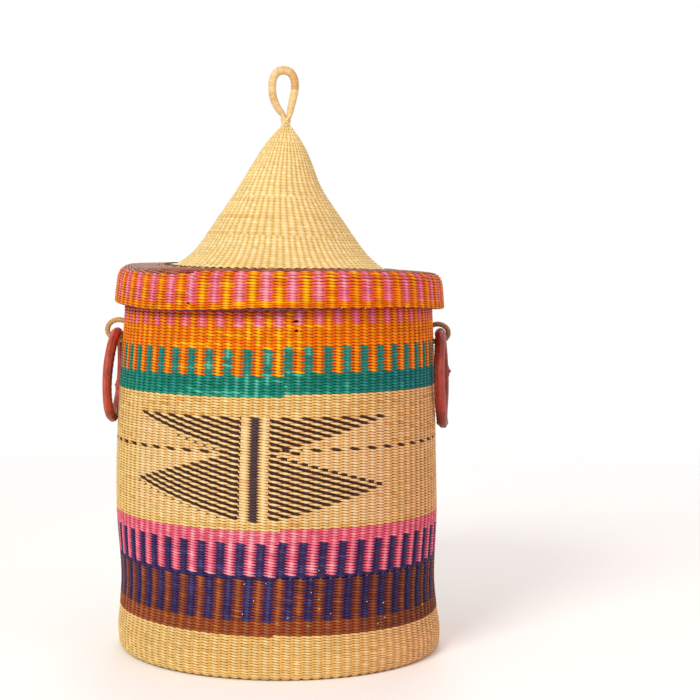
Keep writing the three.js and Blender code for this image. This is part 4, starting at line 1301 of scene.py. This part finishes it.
# Stake and height of each
WALL_ENDS = [(-0.4, 111), (0.6, 92), (-0.4, 76), (1.7, 113), (3.0, 68), (4.0, 75), (5.7, 131), (6.7, 129),
             (7.6, 127), (6.9, 96), (7.0, 85), (8.2, 79), (6.1, 104), (6.0, 66), (12.1, 89), (14.2, 85),
             (14.4, 68), (13.5, 62), (20.9, 71), (-34.5, 88), (-41.6, 127), (44.3, 98), (49.5, 80),
             (33.6, 104), (28.4, 131)]
LID_ENDS = [(-7.7, -4.0), (-5.7, -5.5), (-6.35, -31), (5.75, -40.2), (7.7, -40.2), (11.8, -39.5)]
hand_over(cut_ends("wall_cut_ends", wall_surface, WALL_ENDS, 2.4), "basket", "natural_grass")
lid_places = [(stake, reach_at(height=height)) for stake, height in LID_ENDS]
hand_over(cut_ends("lid_cut_ends", lid_surface(LID_STAKES), lid_places, 2.2), "lid", "natural_grass")

# Stage and light

FADE_START, FADE_END = 0.9, 2.4  # distance at which the floor fades into the background, in metres
FLOOR_REACH = 6000

floor_mat = new_material("pale_floor")
pale = node(floor_mat, "ShaderNodeBsdfPrincipled", {"Base Color": (*linear("#f4f3f1"), 1),
                                                    "Roughness": 0.6})
floor_place = node(floor_mat, "ShaderNodeNewGeometry")
away = node(floor_mat, "ShaderNodeVectorMath", {0: floor_place.outputs["Position"]}, operation="LENGTH")
fade = node(floor_mat, "ShaderNodeMapRange", {"Value": away.outputs["Value"], "From Min": FADE_START,
                                              "From Max": FADE_END}, interpolation_type="SMOOTHSTEP")
clear = node(floor_mat, "ShaderNodeBsdfTransparent")
floor_mix = node(floor_mat, "ShaderNodeMixShader", {0: fade.outputs["Result"], 1: pale.outputs["BSDF"],
                                                    2: clear.outputs["BSDF"]})
node(floor_mat, "ShaderNodeOutputMaterial", {"Surface": floor_mix.outputs["Shader"]})
floor_corners = np.array([(-1, -1, 0), (1, -1, 0), (1, 1, 0), (-1, 1, 0)]) * FLOOR_REACH
floor = add_mesh("floor", floor_corners, np.array([[0, 1, 2, 3]]), material=floor_mat)

# The world lights the basket a little warm, and the camera and reflections see white.
world = bpy.data.worlds.new("studio")
world.use_nodes = True
world.node_tree.nodes.clear()
paths = node(world, "ShaderNodeLightPath").outputs
seen = node(world, "ShaderNodeMath", {0: paths["Is Camera Ray"], 1: paths["Is Glossy Ray"]},
            operation="MAXIMUM")
seen = node(world, "ShaderNodeMath", {0: seen.outputs[0], 1: paths["Is Transmission Ray"]},
            operation="MAXIMUM")
fill = node(world, "ShaderNodeBackground", {"Color": (1.0, 0.955, 0.93, 1), "Strength": 0.69})
white = node(world, "ShaderNodeBackground", {"Color": (1, 1, 1, 1), "Strength": 1.0})
world_mix = node(world, "ShaderNodeMixShader", {0: seen.outputs[0], 1: fill.outputs[0],
                                                2: white.outputs[0]})
node(world, "ShaderNodeOutputWorld", {"Surface": world_mix.outputs[0]})
bpy.context.scene.world = world

LIGHT_TARGET = (0, 0, 0.3)


def area_light(name, place, size, power, colour=(1, 1, 1)):
    """A square light that looks at the basket."""
    data = bpy.data.lights.new(name, "AREA")
    data.shape = "SQUARE"
    data.size = size
    data.energy = power
    data.color = colour
    lamp = bpy.data.objects.new(name, data)
    lamp.location = place
    way = np.array(LIGHT_TARGET) - np.array(place)
    yaw = math.atan2(-way[0], way[1])
    pitch = math.atan2(math.hypot(way[0], way[1]), -way[2])
    lamp.rotation_euler = (pitch, 0, yaw)
    bpy.context.scene.collection.objects.link(lamp)


area_light("key", (-1.5, -2.7, 2.3), 1.2, 95, (1.0, 0.985, 0.95))
area_light("side", (2.4, -1.9, 1.4), 1.6, 21, (1.0, 0.53, 0.5))
area_light("back", (0.4, 2.6, 2.4), 1.6, 22)

bpy.context.scene.view_settings.view_transform = "Standard"
